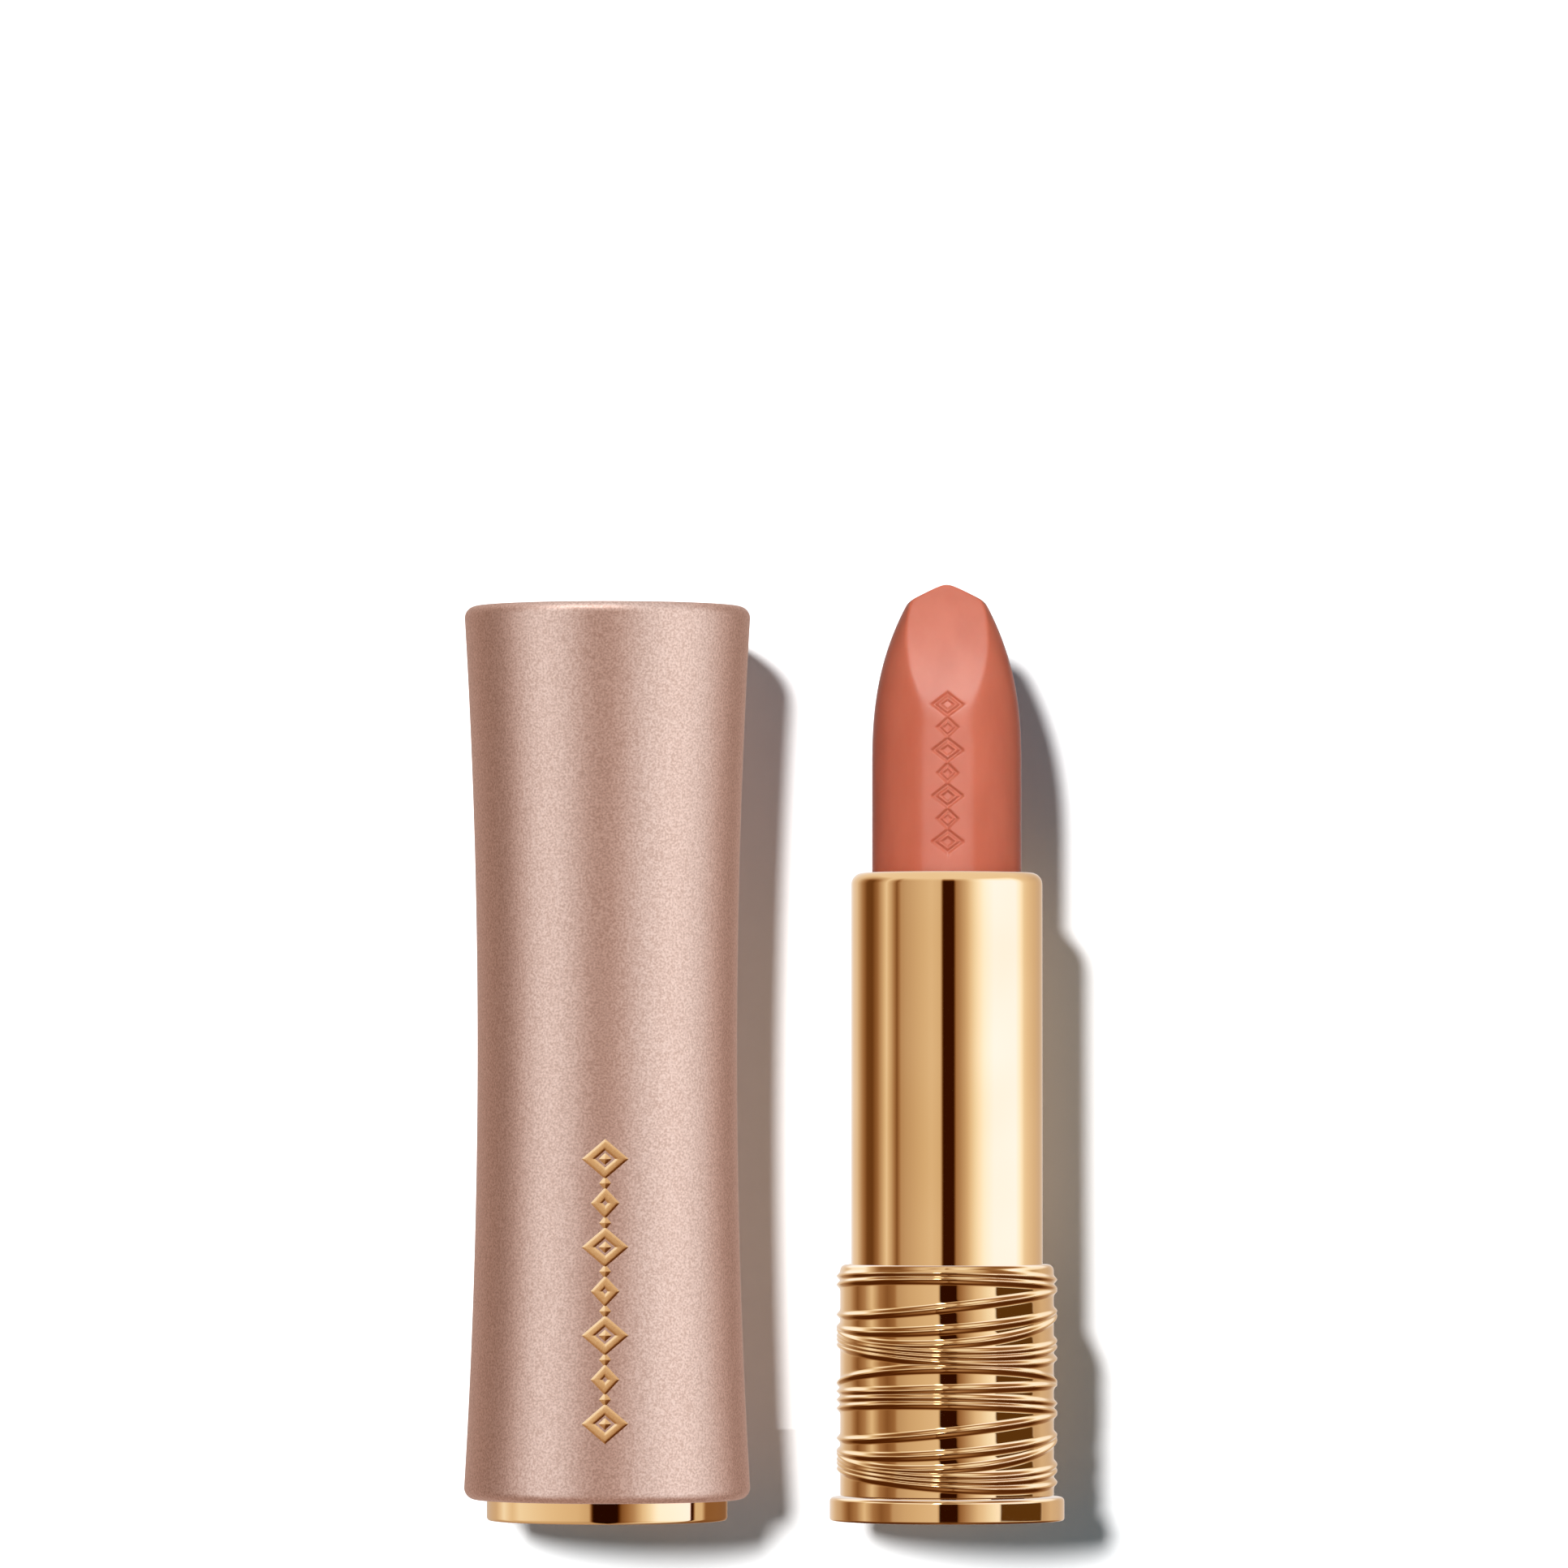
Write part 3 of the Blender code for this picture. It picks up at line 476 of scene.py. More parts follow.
def engraving(x, z, bottom, top):
    """How deep the chain is pressed into the bullet's front, at each point."""
    depth = np.zeros(np.broadcast(x, z).shape)
    for centre, a, b in chain(bottom, top, 1.1 * MM, 0.7 * MM):
        inset = a * b / (a * a + b * b) ** 0.5
        for scale in (1.0, INNER_SHARE):
            away = (np.abs(x) / (scale * a) + np.abs(z - centre) / (scale * b) - 1) * inset * scale
            shape = np.abs(away) if scale == 1.0 else np.maximum(away, 0)  # a line, or a filled one
            depth = np.maximum(depth, bumps(shape, ENGRAVED_HALF))
    return ENGRAVED_DEPTH * depth


def bullet_radius(z, angle, radius, tip):
    """The bullet's radius at each height and angle: a flat front and back, and a roof at the tip."""
    share = np.clip((z - (tip - TIP_LENGTH)) / TIP_LENGTH, 0, 1)
    side = radius - (radius - TIP_HALF_WIDTH) * share**SIDE_POWER
    share = np.clip((z - (tip - FACE_LENGTH)) / FACE_LENGTH, 0, 1)
    flat = radius - FLAT_DEPTH
    face = flat - (flat - TIP_HALF_DEPTH) * share**FACE_POWER
    roof = ((tip - z + ROOF_ROUND) ** 2 - ROOF_ROUND**2) ** 0.5 / tan(ROOF_SLOPE)
    wall = (1 / side) ** FLAT_POWER + (np.abs(np.sin(angle)) / face) ** FLAT_POWER
    wall = wall ** (ROOF_POWER / FLAT_POWER)
    return (wall + (np.abs(np.cos(angle)) / roof) ** ROOF_POWER) ** (-1 / ROOF_POWER)


def bullet_heights(bottom, lip, engraved, tip):
    """Rows up the bullet, close together where it is engraved and closing up towards the tip."""
    crown = 0.5 * MM
    rows = [bottom, *np.arange(lip, engraved[0], 0.4 * MM)]
    rows += [*np.arange(engraved[0], engraved[1], 0.06 * MM)]
    rows += [*np.arange(engraved[1], tip - crown, 0.09 * MM)]
    rows += [tip - crown * (1 - i / 16) ** 2 for i in range(16)]
    return np.array(rows)[:, None]


def bullet_stick(wax):
    """The moulded bullet: round, with a flat strip down the front that opens into the tip's face."""
    low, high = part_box("bullet")
    radius = high.x
    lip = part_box("outer_sleeve")[1].z
    shoulder = lip - STEM_DROP
    engraved = (lip + ENGRAVED_FROM, lip + ENGRAVED_TO)

    dense = np.linspace(-1.35 * MM, 1.35 * MM, 61)
    front = FRONT + np.arcsin(dense / radius)
    rest = np.linspace(front[-1], front[0] + 2 * pi, 181)[1:-1]
    angle = np.concatenate([front, rest])[None, :]
    z = bullet_heights(shoulder + 0.02 * MM, lip, engraved, high.z)
    r = bullet_radius(z, angle, radius, high.z)
    x, y = r * np.cos(angle), r * np.sin(angle)
    y = y + engraving(x, z, *engraved) * (y < 0) * (np.abs(x) < ENGRAVED_REACH)
    upper = np.stack([x, y, np.broadcast_to(z, x.shape)], axis=-1)

    ring = (radius - STEM_STEP) * np.stack([np.cos(angle[0]), np.sin(angle[0])], axis=-1)
    lower = [np.column_stack([ring, np.full(len(ring), height)]) for height in (low.z, shoulder)]
    points = np.concatenate([np.array(lower), upper])
    bullet = piece("bullet_stick", skin(points, closed=False), sharp=60)
    show(bullet, "carrier", "coral_lipstick", wax, "bullet")


# ---------------------------------------------------------------- cap


def cap_side(z, bottom, top):
    """The cap's radius at a height: widest at its ends, and waisted between them."""
    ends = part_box("cap_shell")
    widest = (ends[1].x - ends[0].x) / 2
    across = (2 * z - bottom - top) / (top - bottom)
    return widest - CAP_FLARE * (1 - np.minimum(across**2, 1))


def cap_centre():
    """Where the cap's axis is, along X."""
    low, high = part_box("cap_mouth_ring")
    return (low.x + high.x) / 2


def cap_ends():
    """The heights between which the cap's side is one curve."""
    low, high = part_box("cap_shell")
    return low.z + CAP_ROUND, high.z - CAP_ROUND


def cap_body(satin):
    """The waisted shell: closed at the top but for the button's opening, and hollow from below."""
    low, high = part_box("cap_shell")
    bottom, top = cap_ends()
    widest = (high.x - low.x) / 2
    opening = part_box("push_button")[1].x - cap_centre() - BUTTON_FLANGE + BUTTON_GAP
    under = high.z - CAP_LIP
    corner = (widest, high.z, CAP_ROUND)
    crown = rounded([(opening, high.z, 0.1 * MM), corner, (widest, bottom, 0)], 12)[:-1]
    heights = np.linspace(top, bottom, 60)[1:-1]
    waist = np.column_stack([cap_side(heights, bottom, top), heights])
    hem = rounded([(widest, top, 0), (widest, low.z, CAP_ROUND), (CAP_BORE, low.z, 0.08 * MM)], 12)[1:]
    bore = [(CAP_BORE, under), (opening, under)]
    body = piece("cap_body", turned(np.vstack([crown, waist, hem, bore]), cap_centre(), around=320))
    show(body, "cap", "satin_rose_gold", satin, "cap_shell")


def mouth_ring(gold):
    """The ring at the cap's mouth, with a spigot that goes up into the shell."""
    low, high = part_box("cap_mouth_ring")
    outer = (high.x - low.x) / 2
    inner = outer - RING_WALL
    spigot = outer - RING_SPIGOT
    corners = [(spigot, high.z, 0.06 * MM), (outer, high.z, 0.06 * MM), (outer, low.z, 0.28 * MM)]
    corners += [(inner, low.z, 0.15 * MM), (inner, RING_SHOWN, 0), (spigot, RING_SHOWN, 0)]
    ring = piece("mouth_ring", turned(rounded(corners), cap_centre(), around=320))
    show(ring, "cap", "polished_gold", gold, "cap_mouth_ring")


def lozenge_path(a, b, points=10):
    """Points once round a lozenge, as shares of its half-width and half-height."""
    corners = np.array([(a, 0), (0, b), (-a, 0), (0, -b)])
    share = np.linspace(0, 1, points, endpoint=False)[:, None]
    sides = [corners[i] * (1 - share) + corners[(i + 1) % 4] * share for i in range(4)]
    return np.vstack(sides)


def on_cap(x, z, rise):
    """Points that stand the given rise off the front of the cap."""
    bottom, top = cap_ends()
    radius = cap_side(z, bottom, top) + rise
    return np.stack([cap_centre() + x, -np.sqrt(radius**2 - x**2), z], axis=-1)


def lozenge_frame(centre, a, b):
    """An open lozenge of rounded bar, wrapped on the cap."""
    inset = a * b / (a * a + b * b) ** 0.5
    draft = 0.02 * MM
    section = [(0, -BAR_SINK, 0), (draft, BAR_RISE, BAR_ROUND)]
    section += [(BAR_WIDTH - draft, BAR_RISE, BAR_ROUND), (BAR_WIDTH, -BAR_SINK, 0)]
    path = lozenge_path(a, b)
    rows = []
    for inward, rise in rounded(section, 4):
        outline = path * (1 - inward / inset)
        rows.append(on_cap(outline[:, 0], centre + outline[:, 1], rise))
    return skin(np.array(rows), closed=True)


def lozenge_bead(centre, a, b):
    """A small solid lozenge that rises to a soft point."""
    path = lozenge_path(a, b, 6)
    steps = ((1, -BAR_SINK), (0.92, 0.08 * MM), (0.7, 0.15 * MM), (0.35, 0.2 * MM), (0.1, BAR_RISE))
    rows = []
    for scale, rise in steps:
        outline = path * scale
        rows.append(on_cap(outline[:, 0], centre + outline[:, 1], rise))
    return skin(np.array(rows), closed=False)


def cap_ornament(gold):
    """The raised chain on the cap's front: open lozenges, a bead in each large one, and joints."""
    low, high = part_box("cap_emblem")
    wide = (high.x - low.x) / 2
    links = list(chain(low.z, high.z, wide, 0.62 * wide))
    skins = [lozenge_frame(*link) for link in links]
    skins += [lozenge_bead(centre, 0.55 * MM, 0.5 * MM) for centre, a, b in links if a == wide]
    for (first, _, b), (second, _, d) in zip(links, links[1:]):
        joint = (first + b + second - d) / 2
        skins.append(lozenge_bead(joint, 0.5 * MM, (second - d - first - b) / 2 + 0.3 * MM))
    ornament = piece("cap_ornament", *skins, sharp=30)
    show(ornament, "cap", "polished_gold", gold, "cap_emblem")


def button_face(satin):
    """The push button: a shallow dish inside a bevelled edge, over a flange and a hollow boss."""
    low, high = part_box("push_button")
    flange = (high.x - low.x) / 2
    radius = flange - BUTTON_FLANGE
    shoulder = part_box("cap_shell")[1].z - CAP_LIP - BUTTON_GAP
    under = shoulder - FLANGE_HEIGHT
    dish = high.z - BUTTON_DISH
    boss, socket = BUTTON_BOSS, BUTTON_SOCKET
    corners = [(0, dish, 0), (radius - 2.4 * MM, dish, 1.2 * MM)]
    corners += [(radius - 1.2 * MM, high.z, 0.6 * MM), (radius, high.z, 0.2 * MM), (radius, shoulder, 0)]
    corners += [(flange, shoulder, 0.05 * MM), (flange, under, 0.05 * MM), (boss, under, 0.1 * MM)]
    corners += [(boss, low.z, 0.1 * MM), (socket, low.z, 0.05 * MM), (socket, under, 0), (0, under, 0)]
    button = piece("button_face", turned(rounded(corners), cap_centre(), start_on_axis=True))
    show(button, "button", "satin_rose_gold", satin, "push_button")


def return_spring(steel):
    """The coil under the button, which rides on the button's body."""
    low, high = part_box("button_spring")
    wire = SPRING_WIRE
    radius = (high.x - low.x) / 2 - wire
    rise = high.z - low.z - 2 * wire
    turns = rise / SPRING_PITCH
    along_coil = np.linspace(0, 1, int(turns * 48))[:, None]
    round_wire = np.linspace(0, 2 * pi, 12, endpoint=False)[None, :]
    angle = along_coil * turns * 2 * pi
    r = radius + wire * np.cos(round_wire) * np.ones_like(angle)
    z = low.z + wire + along_coil * rise + wire * np.sin(round_wire)
    points = np.stack([cap_centre() + r * np.cos(angle), r * np.sin(angle), z], axis=-1)
    spring = piece("return_spring", skin(points, closed=False), sharp=50)
    show(spring, "button", "steel", steel, "button_spring")
    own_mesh(spring)


# ---------------------------------------------------------------- studio


def group(name, names):
    """A collection that light linking can name. It isn't in the scene itself."""
    found = bpy.data.collections.new(name)
    for item in names:
        found.objects.link(bpy.data.objects[item])
    return found


def one_sided(name, colour):
    """A matt white that is clear from behind, so that a view from there isn't shut off."""
    material, principled = shader(name, colour, 0.9)
    nodes, links = material.node_tree.nodes, material.node_tree.links
    side = nodes.new("ShaderNodeNewGeometry")
    clear = nodes.new("ShaderNodeBsdfTransparent")
    mix = nodes.new("ShaderNodeMixShader")
    links.new(side.outputs["Backfacing"], mix.inputs["Fac"])
    links.new(principled.outputs["BSDF"], mix.inputs[1])
    links.new(clear.outputs["BSDF"], mix.inputs[2])
    links.new(mix.outputs["Shader"], nodes["Material Output"].inputs["Surface"])
    return material


def sheet_of_paper(name, corners, material):
    """One flat sheet of the stage, which takes light and shadow but gives none back."""
    mesh = bpy.data.meshes.new(name)
    mesh.from_pydata(corners, [], [(0, 1, 2, 3)])
    mesh.materials.append(material)
    sheet = bpy.data.objects.new(name, mesh)
    bpy.context.scene.collection.objects.link(sheet)
    sheet.visible_glossy = False
    sheet.visible_diffuse = False
    sheet.visible_shadow = False
    return sheet


def backdrop_and_floor():
    """A pale card close behind the pieces, and a pale floor that lies just below the view."""
    reach, drop = CARD_REACH, FLOOR_DROP
    back = cad_box[1].y + CARD_GAP
    material = one_sided("paper", (0.92, 0.92, 0.92))
    strips = {"backdrop_foot": (-drop, SEAM), "backdrop": (SEAM, reach)}
    for name, (bottom, top) in strips.items():
        corners = [(-reach, back, bottom), (reach, back, bottom), (reach, back, top), (-reach, back, top)]
        sheet_of_paper(name, corners, material)
    far = 3.0
    floor = [(-far, -far, -drop), (far, -far, -drop), (far, far, -drop), (-far, far, -drop)]
    sheet_of_paper("floor", floor, material)


def glowing(name):
    """A material that gives the light in a mesh's "glow" colours and is otherwise clear."""
    material = bpy.data.materials.new(name)
    material.use_nodes = True
    material.cycles.emission_sampling = "NONE"
    nodes, links = material.node_tree.nodes, material.node_tree.links
    nodes.clear()
    read = nodes.new("ShaderNodeAttribute")
    read.attribute_name = "glow"
    light = nodes.new("ShaderNodeEmission")
    clear = nodes.new("ShaderNodeBsdfTransparent")
    add = nodes.new("ShaderNodeAddShader")
    output = nodes.new("ShaderNodeOutputMaterial")
    links.new(read.outputs["Color"], light.inputs["Color"])
    links.new(light.outputs["Emission"], add.inputs[0])
    links.new(clear.outputs["BSDF"], add.inputs[1])
    links.new(add.outputs["Shader"], output.inputs["Surface"])
    return material


def tent(name, receivers, centre, radius, glow, columns=240, rows=90):
    """A ball of light round some pieces only, whose glow(azimuth, elevation) is a colour.

    No two may have the same radius, because light is lost where surfaces coincide.
    """
    azimuth = np.linspace(-180, 180, columns, endpoint=False)[None, :]
    elevation = np.linspace(-89, 89, rows)[:, None]
    a, e = np.radians(azimuth), np.radians(elevation)
    around = np.cos(e) * np.sin(a), -np.cos(e) * np.cos(a), np.sin(e) * np.ones_like(a)
    points = np.stack(around, axis=-1) * radius + np.array(centre)
    vertices, faces = skin(points, closed=False)
    mesh = bpy.data.meshes.new(name)
    mesh.from_pydata(vertices, [], faces)
    shape = points.shape[:2]
    colour = glow(np.broadcast_to(azimuth, shape), np.broadcast_to(elevation, shape))
    ends = [colour[0].mean(0), colour[-1].mean(0)]
    values = np.vstack([colour.reshape(-1, 3), ends])
    attribute = mesh.attributes.new("glow", "FLOAT_COLOR", "POINT")
    attribute.data.foreach_set("color", np.column_stack([values, np.ones(len(values))]).ravel())
    made = bpy.data.objects.new(name, mesh)
    bpy.context.scene.collection.objects.link(made)

    mesh.materials.append(glowing(name))
    made.visible_camera = False
    made.visible_shadow = False
    made.light_linking.receiver_collection = group(name, receivers)


def along(azimuth, stops):
    """Brightness at an azimuth, between stops of (azimuth, brightness)."""
    where, value = zip(*stops)
    return np.interp(azimuth, where, value, period=360)


def tinted(brightness, tints):
    """Brightness as a colour, between stops of (brightness, tint)."""
    where, colours = zip(*tints)
    channels = [np.interp(brightness, where, channel) for channel in zip(*colours)]
    return brightness[..., None] * np.stack(channels, axis=-1)


def fade(value, low, high, soft):
    """1 between low and high, falling to 0 over a soft edge on each side."""
    return np.clip((value - low) / soft + 1, 0, 1) * np.clip((high - value) / soft + 1, 0, 1)


# What each metal reflects, as stops of (azimuth, brightness): mostly a dim panel front left, a dark
# gap where the camera stands, a bright panel front right, and darker stands out to the sides.
# In the sleeve's and the grip's stops, from about -130 to -60, is a painted reflection of the cap:
# dark for its shaded side, with a painted highlight for its lit edge.
# Many stops for the sleeve, the grip and the rings hold tones measured along rows of a photograph,
# and so do the gold tints: copied data and not a design, to be replaced by a few plain panels.
# From -124 to -63 these stops are a painted reflection of the cap, with a painted highlight at -78.
SLEEVE_PANELS_AND_CAP_REFLECTION = (
    (-178, 0.95), (-159, 0.94), (-138, 0.84), (-124, 0.48), (-112, 0.18), (-102, 0.16), (-93, 0.35),
    (-85, 0.66), (-78, 0.94), (-70, 0.60), (-63, 0.24), (-57, 0.56), (-50, 0.63), (-31, 0.77),
    (-19, 0.84), (-8, 0.78), (-5.5, 0.04), (7.5, 0.04), (10.5, 0.42), (16, 0.55), (22, 0.70),
    (28, 0.92), (34, 1.06), (40, 1.20), (46, 1.40), (58, 1.60), (90, 1.60), (97, 1.30),
    (106, 0.98), (117, 0.88), (129, 0.79), (145, 0.70), (165, 0.75),
)
# From about -129 to -59 these stops are a painted reflection of the cap, with a painted highlight at -89.
GRIP_PANELS_AND_CAP_REFLECTION = (
    (-178, 0.90), (-153, 0.87), (-129, 0.63), (-113, 0.26), (-100, 0.47), (-89, 0.88), (-78, 0.44),
    (-68, 0.27), (-59, 0.37), (-55, 0.60), (-42, 0.72), (-25, 0.81), (-9.5, 0.86), (-7.5, 0.03),
    (9, 0.03), (11, 0.30), (22, 0.60), (30, 0.85), (38, 0.98), (50, 1.15), (90, 1.15), (100, 0.90),
    (108, 0.62), (122, 0.76), (142, 0.70), (165, 0.75),
)
TRIM_PANELS = (
    (-178, 0.60), (-159, 0.67), (-132, 0.71), (-116, 1.05), (-102, 0.88), (-91, 1.02), (-61, 0.93),
    (-28, 0.83), (-16, 0.72), (-13, 0.02), (11, 0.02), (15, 0.26), (27, 0.55), (35, 0.89),
    (43, 1.06), (52, 1.35), (87, 1.50), (88, 0.05), (92, 0.05), (94, 0.80), (104, 0.80),
    (110, 0.30), (131, 0.31), (156, 0.28),
)
SATIN_PANELS = (
    (-178, 0.50), (-140, 0.42), (-112, 0.24), (-92, 0.22), (-74, 0.75), (-60, 1.15), (-46, 1.15),
    (-28, 0.85), (-14, 0.34), (0, 0.32), (14, 0.55), (30, 0.95), (48, 1.18), (66, 1.25),
    (84, 1.05), (104, 0.60), (130, 0.22), (150, 0.40),
)
# The dimmer a panel, the warmer: brown in the gap, cream where it is brightest.
GOLD_TINTS = (
    (0.04, (1, 0.20, 0.00)), (0.18, (1, 0.45, 0.16)), (0.40, (1, 0.62, 0.38)),
    (0.62, (1, 0.81, 0.67)), (0.78, (1, 0.88, 0.78)), (0.92, (1, 0.95, 0.94)),
    (1.06, (1, 1.09, 1.25)), (1.25, (1, 1.12, 1.50)), (1.60, (1, 0.98, 1.66)),
)
SATIN_TINTS = ((0.25, (1.28, 0.88, 0.70)), (0.90, (0.88, 0.92, 0.94)))


def gold_glow(panels, above):
    """Upright panels that dim a little downwards, with one brightness overhead."""

    def glow(azimuth, elevation):
        brightness = along(azimuth, panels)
        high = np.clip((elevation - 20) / 25, 0, 1)
        under = np.clip((-elevation - 12) / 25, 0, 1)
        brightness = brightness * (1 - high) + above * high
        return tinted(brightness * (1 - 0.25 * under), GOLD_TINTS)

    return glow


# What the strands' flanks reflect, as stops of (elevation, brightness): thin lights between darks.
STRAND_LADDER = (
    (-90, 0.50), (-64, 0.12), (-36, 0.10), (-24, 0.45), (0, 0.80), (16, 1.15), (36, 1.40),
    (48, 0.35), (62, 0.30), (74, 0.95), (90, 0.95),
)


def grip_glow(azimuth, elevation):
    """Upright panels for the wall with a painted reflection of the cap among them, a ladder of lights for
    the strands, a dark flag and a bright lamp.
    """
    wall = along(azimuth, GRIP_PANELS_AND_CAP_REFLECTION)
    steps, lights = zip(*STRAND_LADDER)
    flank = np.interp(elevation, steps, lights) * (0.55 + 0.5 * wall)
    steep = np.clip((np.abs(elevation) - 13) / 8, 0, 1)
    colour = tinted(wall * (1 - steep) + flank * steep, GOLD_TINTS)
    flag = fade(azimuth, 54, 104, 2) * fade(elevation, -11, 7, 2)
    dark = np.array((0.12, 0.055, 0.012))
    colour = colour * (1 - flag[..., None]) + dark * flag[..., None]
    lamp = fade(azimuth, -13, -9, 3) * fade(elevation, 22, 34, 8)
    return colour + 9.0 * lamp[..., None]


def ornament_glow(azimuth, elevation):
    """Bright from above and the left, dim from below, so that each bar has a light and a dark side."""
    brightness = 0.66 + 0.62 * np.sin(np.radians(elevation)) - 0.25 * np.sin(np.radians(azimuth))
    return tinted(np.clip(brightness, 0.12, 1.1), GOLD_TINTS)


def satin_glow(azimuth, elevation):
    """Soft upright panels, an even light overhead, and a lamp that catches the cap's top edge."""
    brightness = along(azimuth, SATIN_PANELS)
    high = np.clip((elevation - 35) / 30, 0, 1)
    under = np.clip((-elevation - 35) / 30, 0, 1)
    brightness = brightness * (1 - high) + 0.9 * high
    brightness = brightness * (1 - under) + 0.35 * under
    rim_lamp = fade(azimuth, -55, 5, 25) * fade(elevation, 52, 72, 8)
    return tinted(brightness, SATIN_TINTS) + 1.2 * rim_lamp[..., None]


def wax_glow(azimuth, elevation):
    """A soft front panel with a cooler, brighter band above it, and dim sides."""
    panel = fade(azimuth, -20, 20, 14) * fade(elevation, -30, 70, 15)
    band = fade(azimuth, -30, 36, 20) * fade(elevation, 34, 53, 5)
    side = 0.08 + 0.10 * fade(azimuth, -110, 110, 20) + 0.22 * fade(azimuth, 55, 80, 15)
    cool = fade(elevation, 14, 90, 14)[..., None] * np.array((0.16, 0.0, 0.0))
    behind = 1 - fade(azimuth, -150, 150, 22)
    brightness = side + 1.85 * panel + 3.4 * band + 0.8 * behind
    return brightness[..., None] * (1 - cool)


def tents(inside):
    """One ball of light for each group of pieces. The inner pieces share the wax's."""
    middle = (cad_box[0].z + cad_box[1].z) / 2
    case, cap = (0, 0, middle), (cap_centre(), 0, middle)
    groups = (
        # The sleeve's and the grip's lights carry a painted reflection of the cap.
        ("sleeve_light", ["sleeve_tube"], case, gold_glow(SLEEVE_PANELS_AND_CAP_REFLECTION, OVERHEAD)),
        ("grip_light", ["wound_grip", "foot_rim"], case, grip_glow),
        ("ring_light", ["mouth_ring"], cap, gold_glow(TRIM_PANELS, OVERHEAD)),
        ("ornament_light", ["cap_ornament"], cap, ornament_glow),
        ("satin_light", ["cap_body", "button_face"], cap, satin_glow),
        ("wax_light", ["bullet_stick", *inside], case, wax_glow),
    )
    for i, (name, receivers, centre, glow) in enumerate(groups):
        tent(name, receivers, centre, TENT_RADIUS + i * TENT_STEP, glow)


def shadow_lamp(receiver, fall):
    """A round lamp, front left, that draws the shadows on one strip of the card and nothing else.

    fall is how far a shadow drops for each metre that its edge stands off the card, at the seam.
    """
    place = Vector((-LAMP_LEFT, -LAMP_DISTANCE, SEAM + fall * LAMP_DISTANCE))
    away = Vector((0, 0, SEAM)) - place
    lamp = bpy.data.lights.new(receiver + "_lamp", "AREA")
    lamp.shape = "DISK"
    lamp.size = LAMP_SIZE
    lamp.energy = LAMP_STRENGTH * away.length**3 / LAMP_DISTANCE
    made = bpy.data.objects.new(receiver + "_lamp", lamp)
    made.location = place
    made.rotation_mode = "QUATERNION"
    made.rotation_quaternion = away.to_track_quat("-Z", "Y")
    bpy.context.scene.collection.objects.link(made)
    made.light_linking.receiver_collection = group(receiver, [receiver])


def floor_lamp():
    """A wide soft sun that lights the floor and nothing else."""
    lamp = bpy.data.lights.new("floor_lamp", "SUN")
    lamp.energy = 4.0
    lamp.angle = radians(60)
    made = bpy.data.objects.new("floor_lamp", lamp)
    bpy.context.scene.collection.objects.link(made)
    made.light_linking.receiver_collection = group("floor_lamp", ["floor"])


def white_world():
    """White to the camera, nothing in reflections, and a little cool light on matt surfaces."""
    world = bpy.data.worlds.new("white")
    bpy.context.scene.world = world
    world.use_nodes = True
    nodes, links = world.node_tree.nodes, world.node_tree.links
    path = nodes.new("ShaderNodeLightPath")
    seen = nodes["Background"]
    seen.inputs["Color"].default_value = (1, 1, 1, 1)
    soft = nodes.new("ShaderNodeBackground")
    soft.inputs["Color"].default_value = (0.60, 0.85, 1.0, 1)
    soft.inputs["Strength"].default_value = 0.16
    nothing = nodes.new("ShaderNodeBackground")
    nothing.inputs["Strength"].default_value = 0.0
    matt = nodes.new("ShaderNodeMixShader")
    whole = nodes.new("ShaderNodeMixShader")
    links.new(path.outputs["Is Glossy Ray"], matt.inputs["Fac"])
    links.new(soft.outputs["Background"], matt.inputs[1])
    links.new(nothing.outputs["Background"], matt.inputs[2])
    links.new(path.outputs["Is Camera Ray"], whole.inputs["Fac"])
    links.new(matt.outputs["Shader"], whole.inputs[1])
    links.new(seen.outputs["Background"], whole.inputs[2])
    links.new(whole.outputs["Shader"], nodes["World Output"].inputs["Surface"])


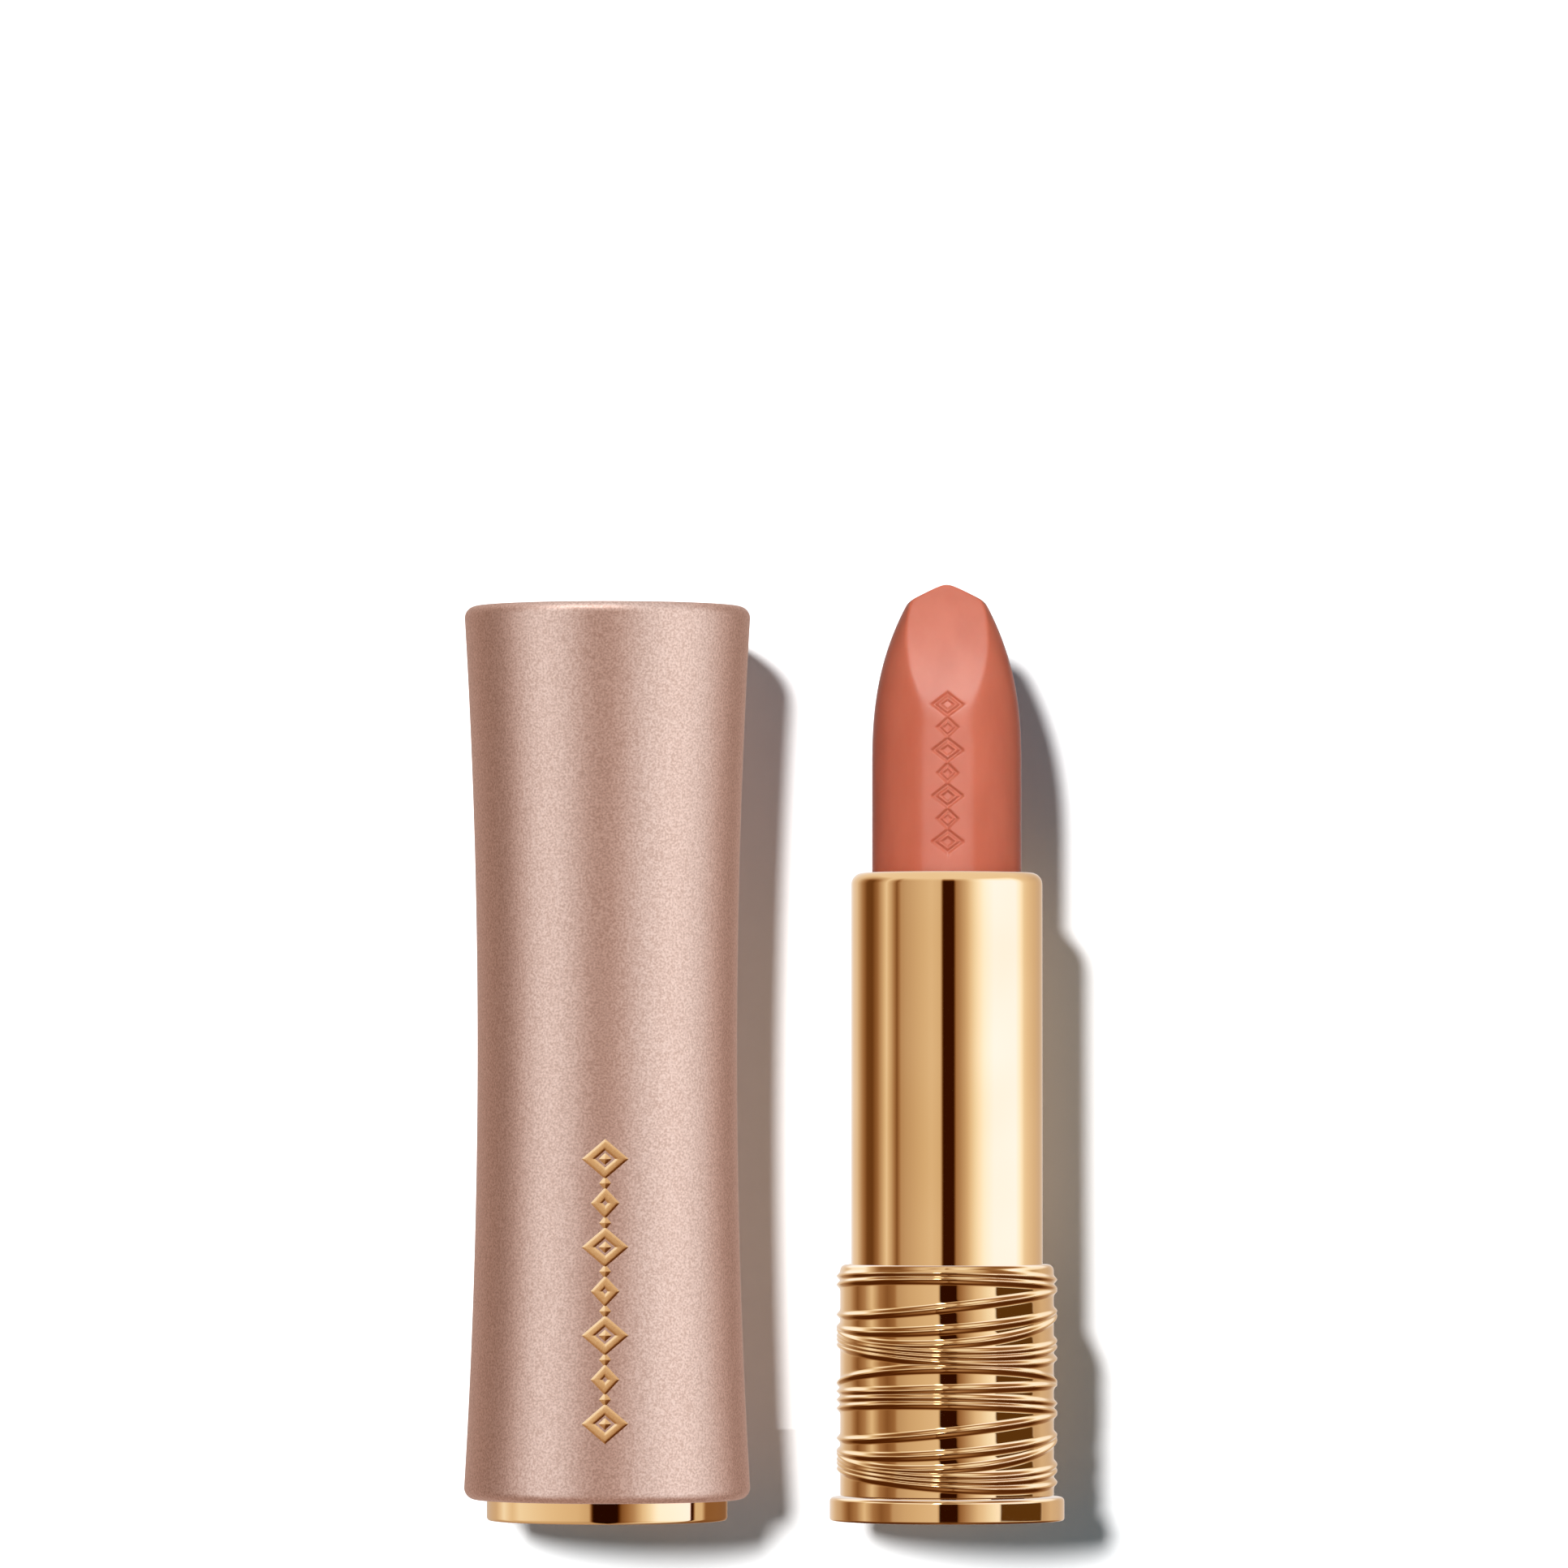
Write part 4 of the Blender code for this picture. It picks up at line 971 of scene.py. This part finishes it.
def camera():
    """Far off and level with the middle of the pieces, looking up a little, as in a catalogue."""
    low, high = cad_box
    distance = 0.921
    to_the_right = 1.6 * MM
    eye_height, aim_height = 35.0 * MM, 59.6 * MM
    seen = 127.1 * MM  # the width of the view, where the pieces stand
    eye = Vector(((low.x + high.x) / 2 + to_the_right, -distance, eye_height))
    aim = Vector((eye.x, 0, aim_height))
    data = bpy.data.cameras.new("camera")
    data.sensor_width = 36
    data.lens = data.sensor_width * (aim - eye).length / seen
    data.clip_start = 0.05
    data.clip_end = 20
    made = bpy.data.objects.new("camera", data)
    made.location = eye
    made.rotation_mode = "QUATERNION"
    made.rotation_quaternion = (aim - eye).to_track_quat("-Z", "Y")
    bpy.context.scene.collection.objects.link(made)
    bpy.context.scene.camera = made


def finish_cad_nodes(finishes):
    """The inner pieces keep their CAD shape, and take a finish each."""
    slots = {part["node"]: part["material_slot"] for part in frame["record"]["subparts"]}
    for name, node in frame["nodes"].items():
        if not node.hide_render:
            node.data.materials.clear()
            node.data.materials.append(finishes[slots[name]])


def clear_reflections():
    """Keeps the pieces out of each other's mirror images, as in the photo: only the lights show there,
    and some of them hold a painted reflection of the cap.
    """
    for made in bpy.context.scene.objects:
        made.visible_glossy = False


def main():
    gold = polished_gold()
    satin = satin_rose_gold()
    wax = lipstick_wax()
    finishes = {
        "polished_gold": gold,
        "satin_rose_gold": satin,
        "coral_lipstick": wax,
        "ivory_plastic": moulded("ivory_plastic", (0.74, 0.70, 0.62), (0.80, 0.77, 0.70)),
        "black_plastic": moulded("black_plastic", (0.022, 0.022, 0.024), (0.035, 0.035, 0.036)),
        "steel": turned_steel(),
        "brake_rubber": moulded("brake_rubber", (0.035, 0.035, 0.035), (0.06, 0.06, 0.06), 0.6, 0.8),
        "label_card": moulded("label_card", (0.80, 0.76, 0.68), (0.88, 0.84, 0.77), 0.5, 0.7),
    }
    wound_grip(gold)
    foot_rim(gold)
    sleeve_tube(gold)
    bullet_stick(wax)
    cap_body(satin)
    mouth_ring(gold)
    cap_ornament(brushed_gold())
    button_face(satin)
    return_spring(finishes["steel"])
    finish_cad_nodes(finishes)
    clear_reflections()

    inside = [name for name, node in frame["nodes"].items() if not node.hide_render]
    backdrop_and_floor()
    tents(inside)
    shadow_lamp("backdrop_foot", FOOT_FALL)
    shadow_lamp("backdrop", CARD_FALL)
    floor_lamp()
    white_world()
    camera()
    bpy.context.scene.view_settings.view_transform = "Standard"


main()
